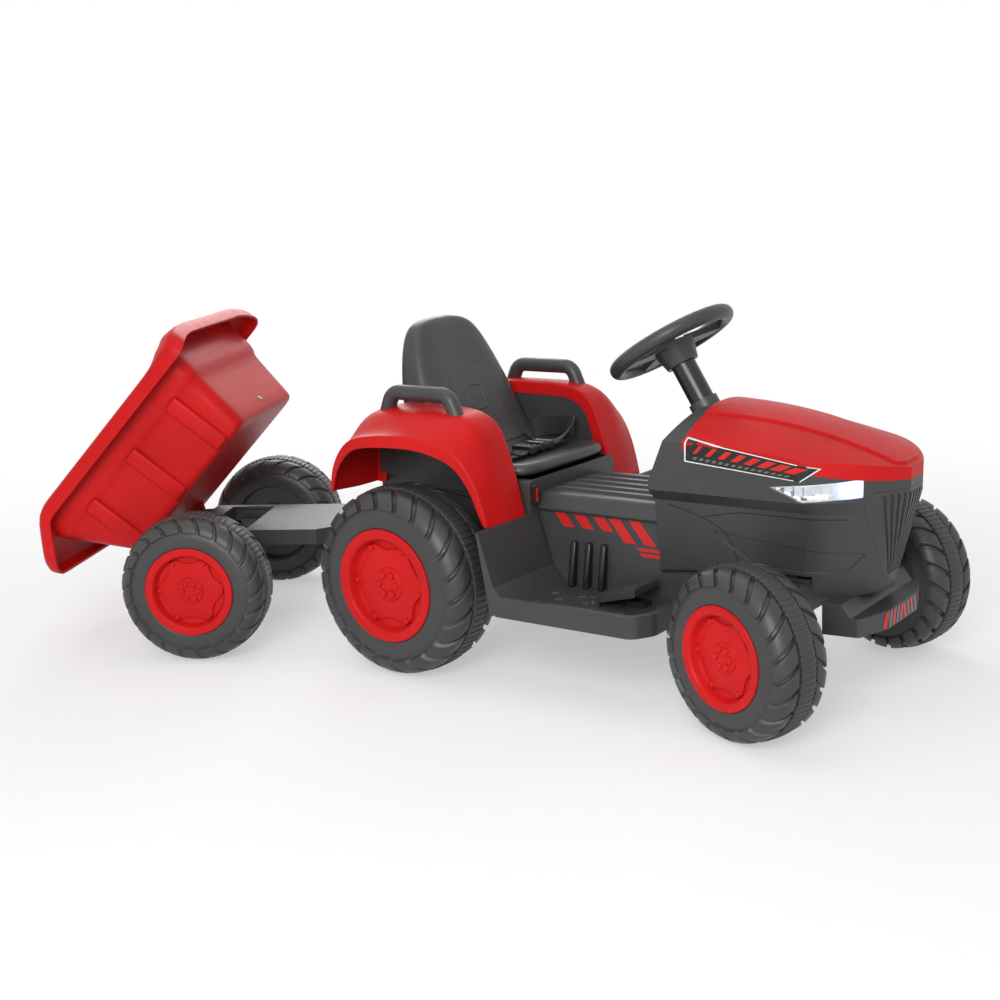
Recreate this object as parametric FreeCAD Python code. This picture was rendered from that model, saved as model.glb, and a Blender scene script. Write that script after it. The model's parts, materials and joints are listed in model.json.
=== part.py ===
import FreeCAD, Part
import math
import os
from FreeCAD import Placement, Rotation, Vector

# A ride-on toy tractor with a tipping trailer, shown steered, hitched at an angle and tipped.
# Working frame: X forward, Y to the left, Z up, the rear axle above the origin, ground at zero.

# Fits and common walls
overrun = 3.0
running_gap = 0.06
side_gap = 0.5
seam_gap = 0.3
wall = 3.5

# Pose of the moving pieces, in degrees
steer_angle = -18.6
wheel_turn_per_steer = 4.0 / 3.0
hitch_angle = 28.3
tip_angle = 47.0

# Stance
wheelbase = 546.0
rear_track = 514.0
kingpin_track = 358.0
kingpin_inset = 75.0
trailer_track = 510.0

# Wheels
rear_radius = 135.0
rear_width = 100.0
small_radius = 110.0
small_width = 82.0
axle_radius = 6.0
tyre_wall = 4.0
hub_share = 0.60
sidewall_share = 0.80
crown_share = 0.62
shoulder_round = 11.0
lug_count = 22
lug_depth = 6.0
lug_gap = 6.5
lug_slant = 26.0
crown_groove = 3.0
crown_groove_share = 0.30
hub_pocket = 38.0
inner_pocket = 24.0
inner_pocket_share = 0.56
bearing_radius = 17.0
cap_flange = 2.5
cap_dish = 17.0
cap_wall = 3.0
cap_lip = 1.5
cap_star_height = 3.0
cap_bolt_height = 4.0
spoke_count = 6
nut_across = 19.0
nut_height = 8.0

# Main body
body_half_width = 112.0
belly_height = 108.0
floor_height = 122.0
box_rear = -122.0
box_front = 150.0
box_top = 268.0
tunnel_top = 236.0
tunnel_half_width = 92.0
tunnel_front = 408.0
board_half_width = 232.0
board_rear = 168.0
board_front = 405.0
board_rim = 137.0
board_rim_width = 9.0
splash_lean = 22.0
splash_round = 26.0
corner_round = 18.0
deck_height = 168.0
deck_front = 562.0
deck_half_width = 84.0
cheek_rear = -78.0
cheek_front = 104.0
cheek_top = 346.0
tread_pitch = 22.0
tread_length = 11.0
tread_width = 4.0
tread_height = 1.6
side_rib_pitch = 24.0
side_rib_width = 7.0
side_rib_height = 46.0
side_rib_depth = 7.0

# Tunnel cover
cover_rise = 12.0
cover_rib_pitch = 27.0
cover_rib_width = 13.0
cover_rib_height = 4.0

# Nose, hood and dash
nose_rear = 352.0
nose_front = 668.0
nose_low = 150.0
nose_break_low = 262.0
nose_break = 278.0
nose_top = 400.0
nose_half_width = 124.0
nose_low_half_width = 98.0
hood_rear = 402.0
hood_edge_rear = 333.0
hood_edge_mid = 315.0
hood_edge_front = 299.0
hood_top_rear = 379.0
hood_top_mid = 361.0
hood_top_front = 315.0
hood_crown_rear = 40.0
hood_crown_mid = 30.0
hood_crown_front = 14.0
hood_panel_rise = 3.0
hood_panel_half_width = 58.0
dash_low = 290.0
dash_top_rear = 374.0
dash_lean = 34.0
nose_rake = 34.0
nose_ledge = 16.0
nose_cheek_shares = (0.35, 0.69)

# Grille, lamps and bumper
grille_top = 288.0
grille_low = 168.0
grille_top_half_width = 76.0
grille_low_half_width = 25.0
grille_depth = 5.0
grille_slot_depth = 3.0
grille_slots = 13
grille_rim = 5.0
grille_top_share = 0.9
grille_slot_share = 0.55
lamp_rear = 524.0
lamp_front = 662.0
lamp_low = 279.0
lamp_high = 312.0
lamp_lens = 2.5
lamp_depth = 20.0
lamp_cup_wall = 2.0
led_radius = 6.0
bumper_front = 652.0
bumper_rear = 588.0
bumper_low = 110.0
bumper_top = 134.0
bumper_half_width = 104.0
bumper_face_half_width = 47.0
bumper_round = 5.0

# Fenders and armrests
fender_inner = 115.0
fender_outer = 225.0
fender_rear = -125.0
fender_front = 152.0
fender_low = 218.0
fender_top = 368.0
fender_band = 20.0
fender_round = 30.0
arch_centre_x = 2.0
arch_centre_z = 150.0
arch_length = 300.0
arch_height = 336.0
armrest_y = 153.0
armrest_rear = -52.0
armrest_front = 50.0
armrest_splay = 14.0
armrest_rise = 33.0
armrest_radius = 11.0
armrest_bend = 20.0

# Seat, latch and belt
seat_front = 147.0
seat_rear = -74.0
seat_pan_height = 20.0
seat_half_width = 114.0
seat_dish = 5.0
back_top = 481.0
back_depth = 52.0
back_base_x = -22.0
back_reach = 112.0
back_points = 28
back_panel_depth = 4.0
latch_y = -103.5
latch_width = 10.0
latch_height = 28.0
latch_depth = 8.0
belt_width = 30.0
belt_thickness = 2.0
belt_x = 66.0
buckle_length = 62.0
buckle_height = 13.0

# Steering
wheel_x = 319.5
wheel_z = 454.0
wheel_radius = 82.4
wheel_grip = 10.5
column_tilt = 31.2
column_radius = 17.0
column_wall = 3.0
column_length = 112.0
rod_radius = 5.0
crank_length = 23.0
crank_height = 140.0
crank_pin = 16.0
crank_pin_radius = 4.0
steer_arm = 30.0
steer_arm_height = 4.0
steer_arm_width = 14.0
tie_pin_radius = 3.0
tie_play = 2.2
tie_height = 4.0
tie_width = 16.0
sleeve_radius = 12.0
sleeve_low = 124.0
sleeve_high = 157.0
beam_half_width = 15.0

# Drive and controls
gearbox_radius = 42.0
motor_radius = 19.0
motor_length = 58.0
motor_rise = 52.0
dog_radius = 44.0
battery_length = 90.0
battery_width = 70.0
battery_height = 101.0
pedal_x = 292.0
pedal_y = -138.0
pedal_width = 58.0
pedal_length = 62.0
pedal_rise = 26.0
pedal_pin_radius = 3.0
button_radius = 9.0
rocker_length = 24.0
rocker_width = 14.0
rocker_gap = 1.0
rocker_pin = 1.5
socket_radius = 9.0
socket_bore = 2.75
socket_depth = 14.0

# Hitch and trailer
hitch_x = -190.0
hitch_height = 142.0
hitch_plate = 8.0
hitch_pin_radius = 6.0
hitch_eye_radius = 20.0
tongue_width = 46.0
drawbar_length = 262.0
frame_top = 162.0
frame_low = 138.0
frame_half_width = 89.0
frame_rear = -66.0
frame_front = 150.0
frame_wall = 4.0
frame_window_rear = -36.0
frame_window_front = 36.0
pivot_s = -92.0
pivot_z = 150.0
pivot_radius = 5.0
pivot_ear = 10.0
pivot_ear_width = 12.0
pivot_ear_spread = 62.0

# Tipping bed, measured along its floor and square to it
bed_length = 273.0
bed_overhang = 28.0
bed_half_width = 141.0
bed_wall = 4.0
bed_crease = 101.0
bed_crease_half_width = 152.0
bed_rim = 148.0
bed_rim_half_width = 160.0
bed_flange = 26.0
bed_lip = 20.0
bed_tail = 100.0
bed_tail_drop = 66.0
bed_head_rise = 22.0
bed_head_half_width = 150.0
bed_head_reach = 34.0
bed_rib_width = 26.0
bed_rib_depth = 7.0
bed_slot_width = 14.0
bed_slot_height = 8.0
bed_corner = 12.0
bed_slope_share = 0.57

X_AXIS = Vector(1, 0, 0)
Y_AXIS = Vector(0, 1, 0)
Z_AXIS = Vector(0, 0, 1)
ORIGIN = Vector(0, 0, 0)
pieces = {}


def block(x, y, z):
    """Box between two values on each axis."""
    corner = Vector(x[0], y[0], z[0])
    return Part.makeBox(x[1] - x[0], y[1] - y[0], z[1] - z[0], corner)


def rod(radius, start, end):
    """Round bar between two points."""
    return Part.makeCylinder(radius, (end - start).Length, start, end - start)


def sleeve(outer, inner, start, end):
    """Tube between two points."""
    reach = (end - start).normalize() * overrun
    return rod(outer, start, end).cut(rod(inner, start - reach, end + reach))


def rounded(points, radii):
    """Closed outline through the points, each corner turned with its own radius."""
    count = len(points)
    if not isinstance(radii, (list, tuple)):
        radii = [radii] * count
    turns = []
    for i, corner in enumerate(points):
        back = (points[i - 1] - corner).normalize()
        ahead = (points[(i + 1) % count] - corner).normalize()
        half = back.getAngle(ahead) / 2
        reach = radii[i] / math.tan(half)
        inward = (back + ahead).normalize()
        middle = corner + inward * (radii[i] / math.sin(half) - radii[i])
        turns.append((corner + back * reach, middle, corner + ahead * reach))
    edges = []
    for i, (start, middle, end) in enumerate(turns):
        if radii[i] > 0:
            edges.append(Part.Arc(start, middle, end).toShape())
        edges.append(Part.LineSegment(end, turns[(i + 1) % count][0]).toShape())
    return Part.Wire(edges)


def side_slab(outline, y, radii=0):
    """An (x, z) outline swept across the width."""
    wire = rounded([Vector(a, y[0], b) for a, b in outline], radii)
    return Part.Face(wire).extrude(Y_AXIS * (y[1] - y[0]))


def plan_slab(outline, z, radii=0):
    """An (x, y) outline swept upwards."""
    wire = rounded([Vector(a, b, z[0]) for a, b in outline], radii)
    return Part.Face(wire).extrude(Z_AXIS * (z[1] - z[0]))


def front_slab(outline, x, radii=0):
    """A (y, z) outline swept forwards."""
    wire = rounded([Vector(x[0], a, b) for a, b in outline], radii)
    return Part.Face(wire).extrude(X_AXIS * (x[1] - x[0]))


def spun(outline, radii=0):
    """A (radius, y) outline turned about the Y axis."""
    face = Part.Face(rounded([Vector(a, b, 0) for a, b in outline], radii))
    return face.revolve(ORIGIN, Y_AXIS, 360)


def mirrored(shape):
    """The same piece on the other side."""
    return shape.mirror(ORIGIN, Y_AXIS)


def moved(shape, offset, axis=Z_AXIS, angle=0.0):
    """A copy turned about the origin and then shifted."""
    copy = shape.copy()
    copy.Placement = Placement(offset, Rotation(axis, angle)).multiply(shape.Placement)
    return copy


def turned(shape, centre, axis, angle):
    """A copy turned about a point."""
    copy = shape.copy()
    copy.rotate(centre, axis, angle)
    return copy


def round_edges(shape, radius, wanted):
    """Fillet the edges that the test picks."""
    return shape.makeFillet(radius, [edge for edge in shape.Edges if wanted(edge)])


def add(name, shape):
    """Keep a finished piece under its name."""
    pieces[name] = shape


# Wheels. Each is made with its outer face at zero and its outward side towards +Y.
def hex_nut(start, direction):
    """Lock nut on the end of an axle."""
    corner = nut_across / math.sqrt(3)
    ring = [Vector(corner * math.cos(k * math.pi / 3), corner * math.sin(k * math.pi / 3), 0)
            for k in range(6)]
    nut = Part.Face(rounded(ring, 0)).extrude(Z_AXIS * nut_height)
    nut = nut.cut(Part.makeCylinder(axle_radius, nut_height))
    nut.Placement = Placement(start, Rotation(Z_AXIS, direction))
    return nut


def tyre(radius, width):
    """Hollow blow-moulded tyre with its disc, bearing bore and two rows of shoulder lugs."""
    rim = radius * hub_share
    side = radius * sidewall_share
    pocket = radius * inner_pocket_share
    crown = width * (1 - crown_share) / 2
    bore = axle_radius + running_gap
    outer = [(bore, inner_pocket - width), (pocket, inner_pocket - width), (pocket, -width),
             (side, -width), (radius, crown - width), (radius, -crown), (side, 0), (rim, 0),
             (rim, -hub_pocket), (bore, -hub_pocket)]
    round_shares = [0, 0, 0.3, 0.7, 1, 1, 0.7, 0.2, 0, 0]
    body = spun(outer, [shoulder_round * share for share in round_shares])
    deep = tyre_wall + lug_depth
    hollow = [(pocket + tyre_wall, tyre_wall - width), (side - tyre_wall, tyre_wall - width),
              (radius - deep, crown - width), (radius - deep, -crown),
              (side - tyre_wall, -tyre_wall), (rim + tyre_wall, -tyre_wall)]
    body = body.cut(spun(hollow))
    band = width * crown_groove_share / 2
    for place in (-width / 2 - band, -width / 2 + band):
        groove = [(radius - crown_groove, place - crown_groove / 2),
                  (radius - crown_groove, place + crown_groove / 2),
                  (radius + overrun, place + crown_groove / 2),
                  (radius + overrun, place - crown_groove / 2)]
        body = body.cut(spun(groove))
    drop = radius - side
    reach = math.hypot(drop, crown)
    slope = math.degrees(math.atan2(drop, crown))
    cutters = []
    for side_sign in (1, -1):
        slot = Part.makeBox(lug_gap, reach * 1.5, lug_depth + overrun,
                            Vector(-lug_gap / 2, -reach, -lug_depth))
        slot = turned(slot, ORIGIN, Z_AXIS, lug_slant)
        slot = turned(slot, ORIGIN, X_AXIS, -slope * 0.8)
        slot = moved(slot, Vector(0, -crown / 2, radius - drop / 3))
        if side_sign < 0:
            slot = slot.mirror(Vector(0, -width / 2, 0), Y_AXIS)
        for k in range(lug_count):
            turn = 360.0 / lug_count * (k + (0 if side_sign > 0 else 0.5))
            cutters.append(turned(slot, ORIGIN, Y_AXIS, turn))
    return body.cut(Part.makeCompound(cutters))


def hub_cap(radius):
    """Pressed-in hub cap: flange, dish, scalloped star plate, nubs, boss and bolt heads."""
    rim = radius * hub_share
    inner = rim * 0.84
    floor = -cap_dish
    body = spun([(0, floor - cap_wall), (rim - cap_wall - seam_gap, floor - cap_wall),
                 (rim - seam_gap, floor), (rim - seam_gap, 0), (rim + cap_lip, 0),
                 (rim + cap_lip, cap_flange), (inner, cap_flange), (inner - cap_wall, floor),
                 (0, floor)])
    plate = inner - cap_wall
    star = rod(plate - cap_wall / 2, Vector(0, floor, 0), Vector(0, floor + cap_star_height, 0))
    scallop_at = plate * 1.02
    boss = rim * 0.33
    raised = [rod(boss, Vector(0, floor, 0), Vector(0, floor + cap_star_height * 2, 0))]
    for k in range(spoke_count):
        angle = 2 * math.pi * k / spoke_count
        out = Vector(math.cos(angle), 0, math.sin(angle))
        mid = Vector(math.cos(angle + math.pi / spoke_count), 0,
                     math.sin(angle + math.pi / spoke_count))
        cut_from = mid * scallop_at + Y_AXIS * floor
        star = star.cut(rod(rim * 0.21, cut_from, cut_from + Y_AXIS * (cap_star_height + overrun)))
        nub = out * (rim * 0.66) + Y_AXIS * floor
        raised.append(rod(rim * 0.05, nub, nub + Y_AXIS * (cap_star_height + cap_bolt_height)))
        bolt = out * (rim * 0.18) + Y_AXIS * floor
        raised.append(rod(rim * 0.062, bolt,
                          bolt + Y_AXIS * (cap_star_height * 2 + cap_bolt_height)))
    return body.fuse([star] + raised).removeSplitter()


def drive_dog():
    """Six-lobed driving plate that a rear wheel is keyed to."""
    lobes = []
    for k in range(spoke_count):
        angle = 2 * math.pi * k / spoke_count
        centre = Vector(math.cos(angle), 0, math.sin(angle)) * (dog_radius - bearing_radius / 2)
        lobes.append(rod(bearing_radius / 2, centre, centre - Y_AXIS * inner_pocket))
    core = rod(dog_radius - bearing_radius / 2, ORIGIN, ORIGIN - Y_AXIS * inner_pocket)
    bore = rod(axle_radius + running_gap, Y_AXIS * overrun, Y_AXIS * (-inner_pocket - overrun))
    return core.fuse(lobes).cut(bore)


rear_tyre = tyre(rear_radius, rear_width)
rear_cap = hub_cap(rear_radius)
small_tyre = tyre(small_radius, small_width)
small_cap = hub_cap(small_radius)
dog = drive_dog()


def place_wheel(shape, centre, heading, left):
    """Stand a wheel piece at its outer face centre, turned to its heading."""
    return moved(shape, centre, Z_AXIS, heading if left else heading + 180)


rear_face = rear_track / 2
rear_pocket = rear_face - hub_pocket
nut_seat = rear_pocket + side_gap
for left, label in ((True, "left"), (False, "right")):
    sign = 1 if left else -1
    centre = Vector(0, sign * rear_face, rear_radius)
    add("rear_tyre_" + label, place_wheel(rear_tyre, centre, 0, left))
    add("rear_hub_cap_" + label, place_wheel(rear_cap, centre, 0, left))
    seat_at = Vector(0, sign * (rear_face - rear_width + inner_pocket), rear_radius)
    add("drive_dog_" + label, place_wheel(dog, seat_at, 0, left))

axle_end = nut_seat + nut_height + axle_radius / 2
rear_nuts = [hex_nut(Vector(0, sign * nut_seat, rear_radius), Y_AXIS * sign) for sign in (1, -1)]
rear_axle = rod(axle_radius, Vector(0, -axle_end, rear_radius), Vector(0, axle_end, rear_radius))
add("rear_axle", rear_axle.fuse(rear_nuts))

# Steered front wheels. A bent steel axle carries each wheel and turns in the beam's sleeve.
kingpin_y = kingpin_track / 2
arm_low = small_radius + axle_radius + side_gap
arm_high = arm_low + steer_arm_height
tie_low = arm_high + side_gap
tie_high = tie_low + tie_height
collar_low = sleeve_high + side_gap
collar_high = collar_low + axle_radius
stub = kingpin_inset - hub_pocket + side_gap


def knuckle(sign):
    """Bent axle, its collar, steering arm and tie-rod pin, turned to the resting steer."""
    foot = Vector(0, 0, small_radius)
    end = Vector(0, sign * (stub + nut_height + axle_radius / 2), small_radius)
    body = rod(axle_radius, foot, Vector(0, 0, collar_high))
    body = body.fuse([rod(axle_radius, foot, end), Part.makeSphere(axle_radius, foot),
                      rod(axle_radius * 1.6, Vector(0, 0, collar_low), Vector(0, 0, collar_high))])
    half = steer_arm_width / 2
    arm = block((-steer_arm, 0), (-half, half), (arm_low, arm_high))
    for x in (-steer_arm, 0):
        arm = arm.fuse(rod(half, Vector(x, 0, arm_low), Vector(x, 0, arm_high)))
    pin = rod(tie_pin_radius, Vector(-steer_arm, 0, arm_low),
              Vector(-steer_arm, 0, tie_high + tie_pin_radius))
    nut = hex_nut(Vector(0, sign * stub, small_radius), Y_AXIS * sign)
    body = body.fuse([arm, pin, nut]).removeSplitter()
    return moved(body, Vector(wheelbase, sign * kingpin_y, 0), Z_AXIS, steer_angle)


for left, label in ((True, "left"), (False, "right")):
    sign = 1 if left else -1
    pin = Vector(wheelbase, sign * kingpin_y, 0)
    outward = Rotation(Z_AXIS, steer_angle).multVec(Vector(0, sign, 0))
    face = pin + outward * kingpin_inset + Z_AXIS * small_radius
    add("front_axle_" + label, knuckle(sign))
    add("front_tyre_" + label, place_wheel(small_tyre, face, steer_angle, left))
    add("front_hub_cap_" + label, place_wheel(small_cap, face, steer_angle, left))

# Tie rod with an eye at each end and a slotted tab for the column's crank.
tie_x = wheelbase - steer_arm * math.cos(math.radians(steer_angle))
tie_shift = -steer_arm * math.sin(math.radians(steer_angle))
column_axis = Vector(-math.sin(math.radians(column_tilt)), 0, math.cos(math.radians(column_tilt)))
column_back = Vector(-column_axis.z, 0, column_axis.x)
wheel_centre = Vector(wheel_x, 0, wheel_z)


def column_point(z):
    """Point of the column's centre line at a height."""
    return wheel_centre + column_axis * ((z - wheel_z) / column_axis.z)


crank_top = column_point(crank_height)
crank_end = crank_top + column_back * crank_length
tie_mid = (tie_low + tie_high) / 2
slot_x = crank_end.x + column_axis.x * (tie_mid - crank_end.z) / column_axis.z
eye_radius = tie_pin_radius + tie_play + tie_height
half_tie = tie_width / 2
bar = block((tie_x - half_tie, tie_x + half_tie), (-kingpin_y, kingpin_y), (tie_low, tie_high))
for y in (-kingpin_y, kingpin_y):
    bar = bar.fuse(rod(eye_radius, Vector(tie_x, y, tie_low), Vector(tie_x, y, tie_high)))
slot_half = crank_pin_radius * 2.6
tab = plan_slab([(slot_x - slot_half - tie_width, -tie_width), (tie_x, -tie_width * 1.5),
                 (tie_x, tie_width * 1.5), (slot_x - slot_half - tie_width, tie_width)],
                (tie_low, tie_high), [half_tie, 0, 0, half_tie])
bar = bar.fuse(tab).removeSplitter()
for y in (-kingpin_y, kingpin_y):
    bar = bar.cut(rod(tie_pin_radius + tie_play, Vector(tie_x, y, tie_low - overrun),
                      Vector(tie_x, y, tie_high + overrun)))
bar = bar.cut(block((slot_x - slot_half, slot_x + slot_half),
                    (-crank_pin_radius - side_gap * 2, crank_pin_radius + side_gap * 2),
                    (tie_low - overrun, tie_high + overrun)))
add("tie_rod", moved(bar, Vector(0, tie_shift, 0)))

# Front beam with a sleeve for each bent axle, hung under the front deck.
beam_drop = deck_height - sleeve_low
beam_end = kingpin_y - sleeve_radius * 1.2
beam = front_slab([(-kingpin_y, sleeve_low), (kingpin_y, sleeve_low), (kingpin_y, sleeve_high),
                   (beam_end, sleeve_high), (deck_half_width, deck_height),
                   (-deck_half_width, deck_height), (-beam_end, sleeve_high),
                   (-kingpin_y, sleeve_high)],
                  (wheelbase - beam_half_width * 0.6, wheelbase + beam_half_width * 0.6))
web = front_slab([(-kingpin_y + beam_drop, sleeve_low + wall * 2),
                  (kingpin_y - beam_drop, sleeve_low + wall * 2),
                  (deck_half_width - beam_drop / 2, deck_height - wall * 2),
                  (beam_drop / 2 - deck_half_width, deck_height - wall * 2)],
                 (wheelbase - beam_half_width, wheelbase - wall / 2), wall)
beam = beam.cut(web)
beam = beam.fuse(block((wheelbase - beam_half_width, wheelbase + beam_half_width),
                       (-deck_half_width, deck_half_width), (deck_height - wall, deck_height)))
for y in (-kingpin_y, kingpin_y):
    low = Vector(wheelbase, y, sleeve_low)
    high = Vector(wheelbase, y, sleeve_high)
    beam = beam.fuse(rod(sleeve_radius, low, high))
    beam = beam.cut(rod(axle_radius + running_gap, low - Z_AXIS * overrun,
                        high + Z_AXIS * overrun))
add("front_beam", beam)

# Steering column: tube, cranked rod and three-spoked wheel, turned to the resting steer.
wheel_angle = steer_angle * wheel_turn_per_steer
column_bottom = wheel_centre - column_axis * column_length
tube_top = wheel_centre - column_axis * wheel_grip


def steered(shape):
    """Turn a column piece from straight ahead to the resting steer."""
    return turned(shape, wheel_centre, column_axis, wheel_angle)


tube = sleeve(column_radius, column_radius - column_wall, column_bottom, tube_top)
for end in (column_bottom, tube_top - column_axis * wall):
    tube = tube.fuse(sleeve(column_radius - column_wall / 2, rod_radius, end,
                            end + column_axis * wall))
add("steering_column", steered(tube))
crank = rod(rod_radius, crank_top, wheel_centre)
crank = crank.fuse([rod(rod_radius, crank_top, crank_end), Part.makeSphere(rod_radius, crank_top),
                    Part.makeSphere(rod_radius, crank_end),
                    rod(crank_pin_radius, crank_end, crank_end - column_axis * crank_pin)])
add("steering_rod", steered(crank))


def steering_wheel():
    """Rim, flat spokes that dish down to the hub, and the hub's socket."""
    rim = Part.makeTorus(wheel_radius, wheel_grip)
    hub_radius = column_radius + wall * 1.6
    hub_low = -wheel_grip * 3.2
    hub = Part.makeCone(hub_radius, hub_radius * 1.35, -hub_low - wheel_grip * 0.4,
                        Vector(0, 0, hub_low))
    body = rim.fuse(hub)
    spoke_outline = [(0, -hub_radius), (wheel_radius, -wheel_grip * 0.9),
                     (wheel_radius, wheel_grip * 0.9), (0, hub_radius)]
    spoke = plan_slab(spoke_outline, (-wheel_grip * 0.45, wheel_grip * 0.35))
    spoke = moved(spoke, Vector(0, 0, -wheel_grip * 0.4))
    for angle in (90, 180, 270):
        body = body.fuse(turned(spoke, ORIGIN, Z_AXIS, angle))
    top = -wheel_grip * 0.4
    body = body.cut(Part.makeCylinder(column_radius + seam_gap, -hub_low - wheel_grip + overrun,
                                      Vector(0, 0, hub_low - overrun)))
    body = body.cut(Part.makeCylinder(rod_radius + seam_gap, -hub_low + overrun,
                                      Vector(0, 0, hub_low)))
    body = body.cut(Part.makeCylinder(hub_radius, overrun * 3, Vector(0, 0, top - wall)))
    return body


wheel_tilt = Placement(wheel_centre, Rotation(Y_AXIS, -column_tilt))
rim = steering_wheel()
rim.Placement = wheel_tilt
add("steering_wheel", steered(rim))
cap_radius = column_radius + wall * 1.6
cap = Part.makeCylinder(cap_radius - seam_gap, wall, Vector(0, 0, -wheel_grip * 0.4 - wall))
cap = cap.fuse(Part.makeCone(cap_radius - seam_gap, cap_radius * 0.8, wall,
                             Vector(0, 0, -wheel_grip * 0.4)))
cap = cap.cut(Part.makeCylinder(rod_radius + seam_gap, wheel_grip, Vector(0, 0, -wheel_grip)))
cap.Placement = wheel_tilt
add("steering_wheel_cap", steered(cap))

# Main body: seat box, tunnel, footboards, splash walls and front deck in one hollow moulding.
splash_top = fender_low + wall


def tub_half(inset):
    """The body's outer form, or its inside when inset by the wall."""
    half = body_half_width - inset
    box = front_slab([(-half, belly_height), (half, belly_height), (half - wall, box_top),
                      (wall - half, box_top)], (box_rear + inset, box_front - inset),
                     [0, 0, corner_round / 2, corner_round / 2])
    low = tunnel_half_width - inset
    high = tunnel_half_width - corner_round / 2 - inset
    tunnel = front_slab([(-low, belly_height), (low, belly_height), (high, tunnel_top - inset),
                         (-high, tunnel_top - inset)],
                        (box_front - corner_round, tunnel_front - inset),
                        [0, 0, corner_round, corner_round])
    return box.fuse(tunnel)


def footboard():
    """Right-hand footboard with its rim, and the splash wall that curves up behind it."""
    outer = -board_half_width
    inner = -tunnel_half_width
    outline = [(board_rear, inner), (board_rear, outer), (board_front - corner_round, outer),
               (board_front, outer + corner_round * 1.6), (board_front, inner)]
    radii = [0, corner_round / 2, corner_round, corner_round, 0]
    slab = plan_slab(outline, (belly_height, board_rim), radii)
    rim = board_rim_width
    pocket = [(board_rear - overrun, inner + overrun), (board_rear - overrun, outer + rim),
              (board_front - corner_round - rim / 2, outer + rim),
              (board_front - rim, outer + corner_round * 1.6 + rim / 2),
              (board_front - rim, inner + overrun)]
    slab = slab.cut(plan_slab(pocket, (floor_height, board_rim + overrun),
                              [0, 0, corner_round, corner_round, 0]))
    under = plan_slab([(board_rear + wall, inner - wall), (board_rear + wall, outer + wall),
                       (board_front - corner_round, outer + wall),
                       (board_front - wall, outer + corner_round * 1.6),
                       (board_front - wall, inner - wall)],
                      (belly_height - overrun, floor_height - wall), [0, 0, wall, wall, 0])
    slab = slab.cut(under)
    top_x = board_rear - splash_lean
    splash = [(board_rear, belly_height), (board_rear + splash_round, floor_height),
              (board_rear + wall, floor_height + splash_round),
              (top_x + wall, splash_top), (top_x, splash_top), (board_rear - wall, belly_height)]
    return slab.fuse(side_slab(splash, (outer, inner)))


def treads():
    """Short raised treads in a staggered pattern on the footboard."""
    bumps = []
    rows = int((board_front - board_rear - splash_round * 2) // tread_pitch)
    cols = int((board_half_width - tunnel_half_width - corner_round * 2) // tread_pitch)
    for i in range(rows):
        for j in range(cols):
            x = board_rear + splash_round + tread_pitch * (i + 0.6)
            y = board_rim_width + corner_round * 0.4 - board_half_width + tread_pitch * (j + 0.5)
            if abs(x - pedal_x - pedal_length / 2) < pedal_length * 0.7:
                if y > pedal_y - pedal_width * 0.7:
                    continue
            lean = 1 if (i + j) % 2 else -1
            bump = block((-tread_length / 2, tread_length / 2), (-tread_width / 2, tread_width / 2),
                         (floor_height - tread_height, floor_height + tread_height))
            bumps.append(moved(bump, Vector(x, y, 0), Z_AXIS, lean * 35))
    return bumps


right_board = footboard().fuse(treads())
boards = [right_board, mirrored(right_board)]
shell = tub_half(0).fuse(boards).removeSplitter()
hollow = tub_half(wall)
floor_plate = block((box_rear + wall, box_front), (wall - body_half_width, body_half_width - wall),
                    (floor_height - wall, floor_height))
shell = shell.cut(hollow.cut(floor_plate))
top_open = block((box_rear + wall * 4, box_front - wall * 4),
                 (corner_round - body_half_width, body_half_width - corner_round),
                 (box_top - wall - overrun, box_top + overrun))
shell = shell.cut(top_open)
deck = plan_slab([(tunnel_front - wall, -deck_half_width), (deck_front, -deck_half_width),
                  (deck_front, deck_half_width), (tunnel_front - wall, deck_half_width)],
                 (deck_height, deck_height + wall), wall)
lip = deck_height + wall * 5
deck_sides = [block((tunnel_front - wall, deck_front - corner_round), y, (deck_height, lip))
              for y in ((-deck_half_width, wall - deck_half_width),
                        (deck_half_width - wall, deck_half_width))]
bush_at = column_point(deck_height + wall / 2)
bush = rod(rod_radius + wall * 1.4, bush_at - column_axis * wall * 2,
           bush_at + column_axis * wall * 3)
shell = shell.fuse([deck, bush] + deck_sides)
shell = shell.cut(rod(rod_radius + running_gap, bush_at - column_axis * lip,
                      bush_at + column_axis * lip))
ribs = []
for k in range(3):
    x = board_rear + splash_round * 1.5 + side_rib_pitch * k
    lean_y = tunnel_half_width
    profile = [(-lean_y - side_rib_depth / 2, floor_height - wall),
               (-lean_y + side_rib_depth * 1.6, floor_height - wall),
               (-lean_y + side_rib_depth * 1.6, floor_height + side_rib_height),
               (-lean_y + side_rib_depth * 0.4, floor_height + side_rib_height)]
    rib = front_slab(profile, (x, x + side_rib_width))
    ribs += [rib, mirrored(rib)]
shell = shell.fuse(ribs)
shell = shell.cut(rod(axle_radius + seam_gap, Vector(0, -rear_face, rear_radius),
                      Vector(0, rear_face, rear_radius)))
motor_x = motor_rise * math.sin(math.radians(column_tilt))
motor_z = rear_radius + motor_rise * math.cos(math.radians(column_tilt))
shell = shell.cut(rod(motor_radius + seam_gap, Vector(motor_x, -rear_face, motor_z),
                      Vector(motor_x, rear_face, motor_z)))
column_clear = rod(column_radius + side_gap, column_bottom - column_axis * column_length,
                   tube_top)

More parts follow.
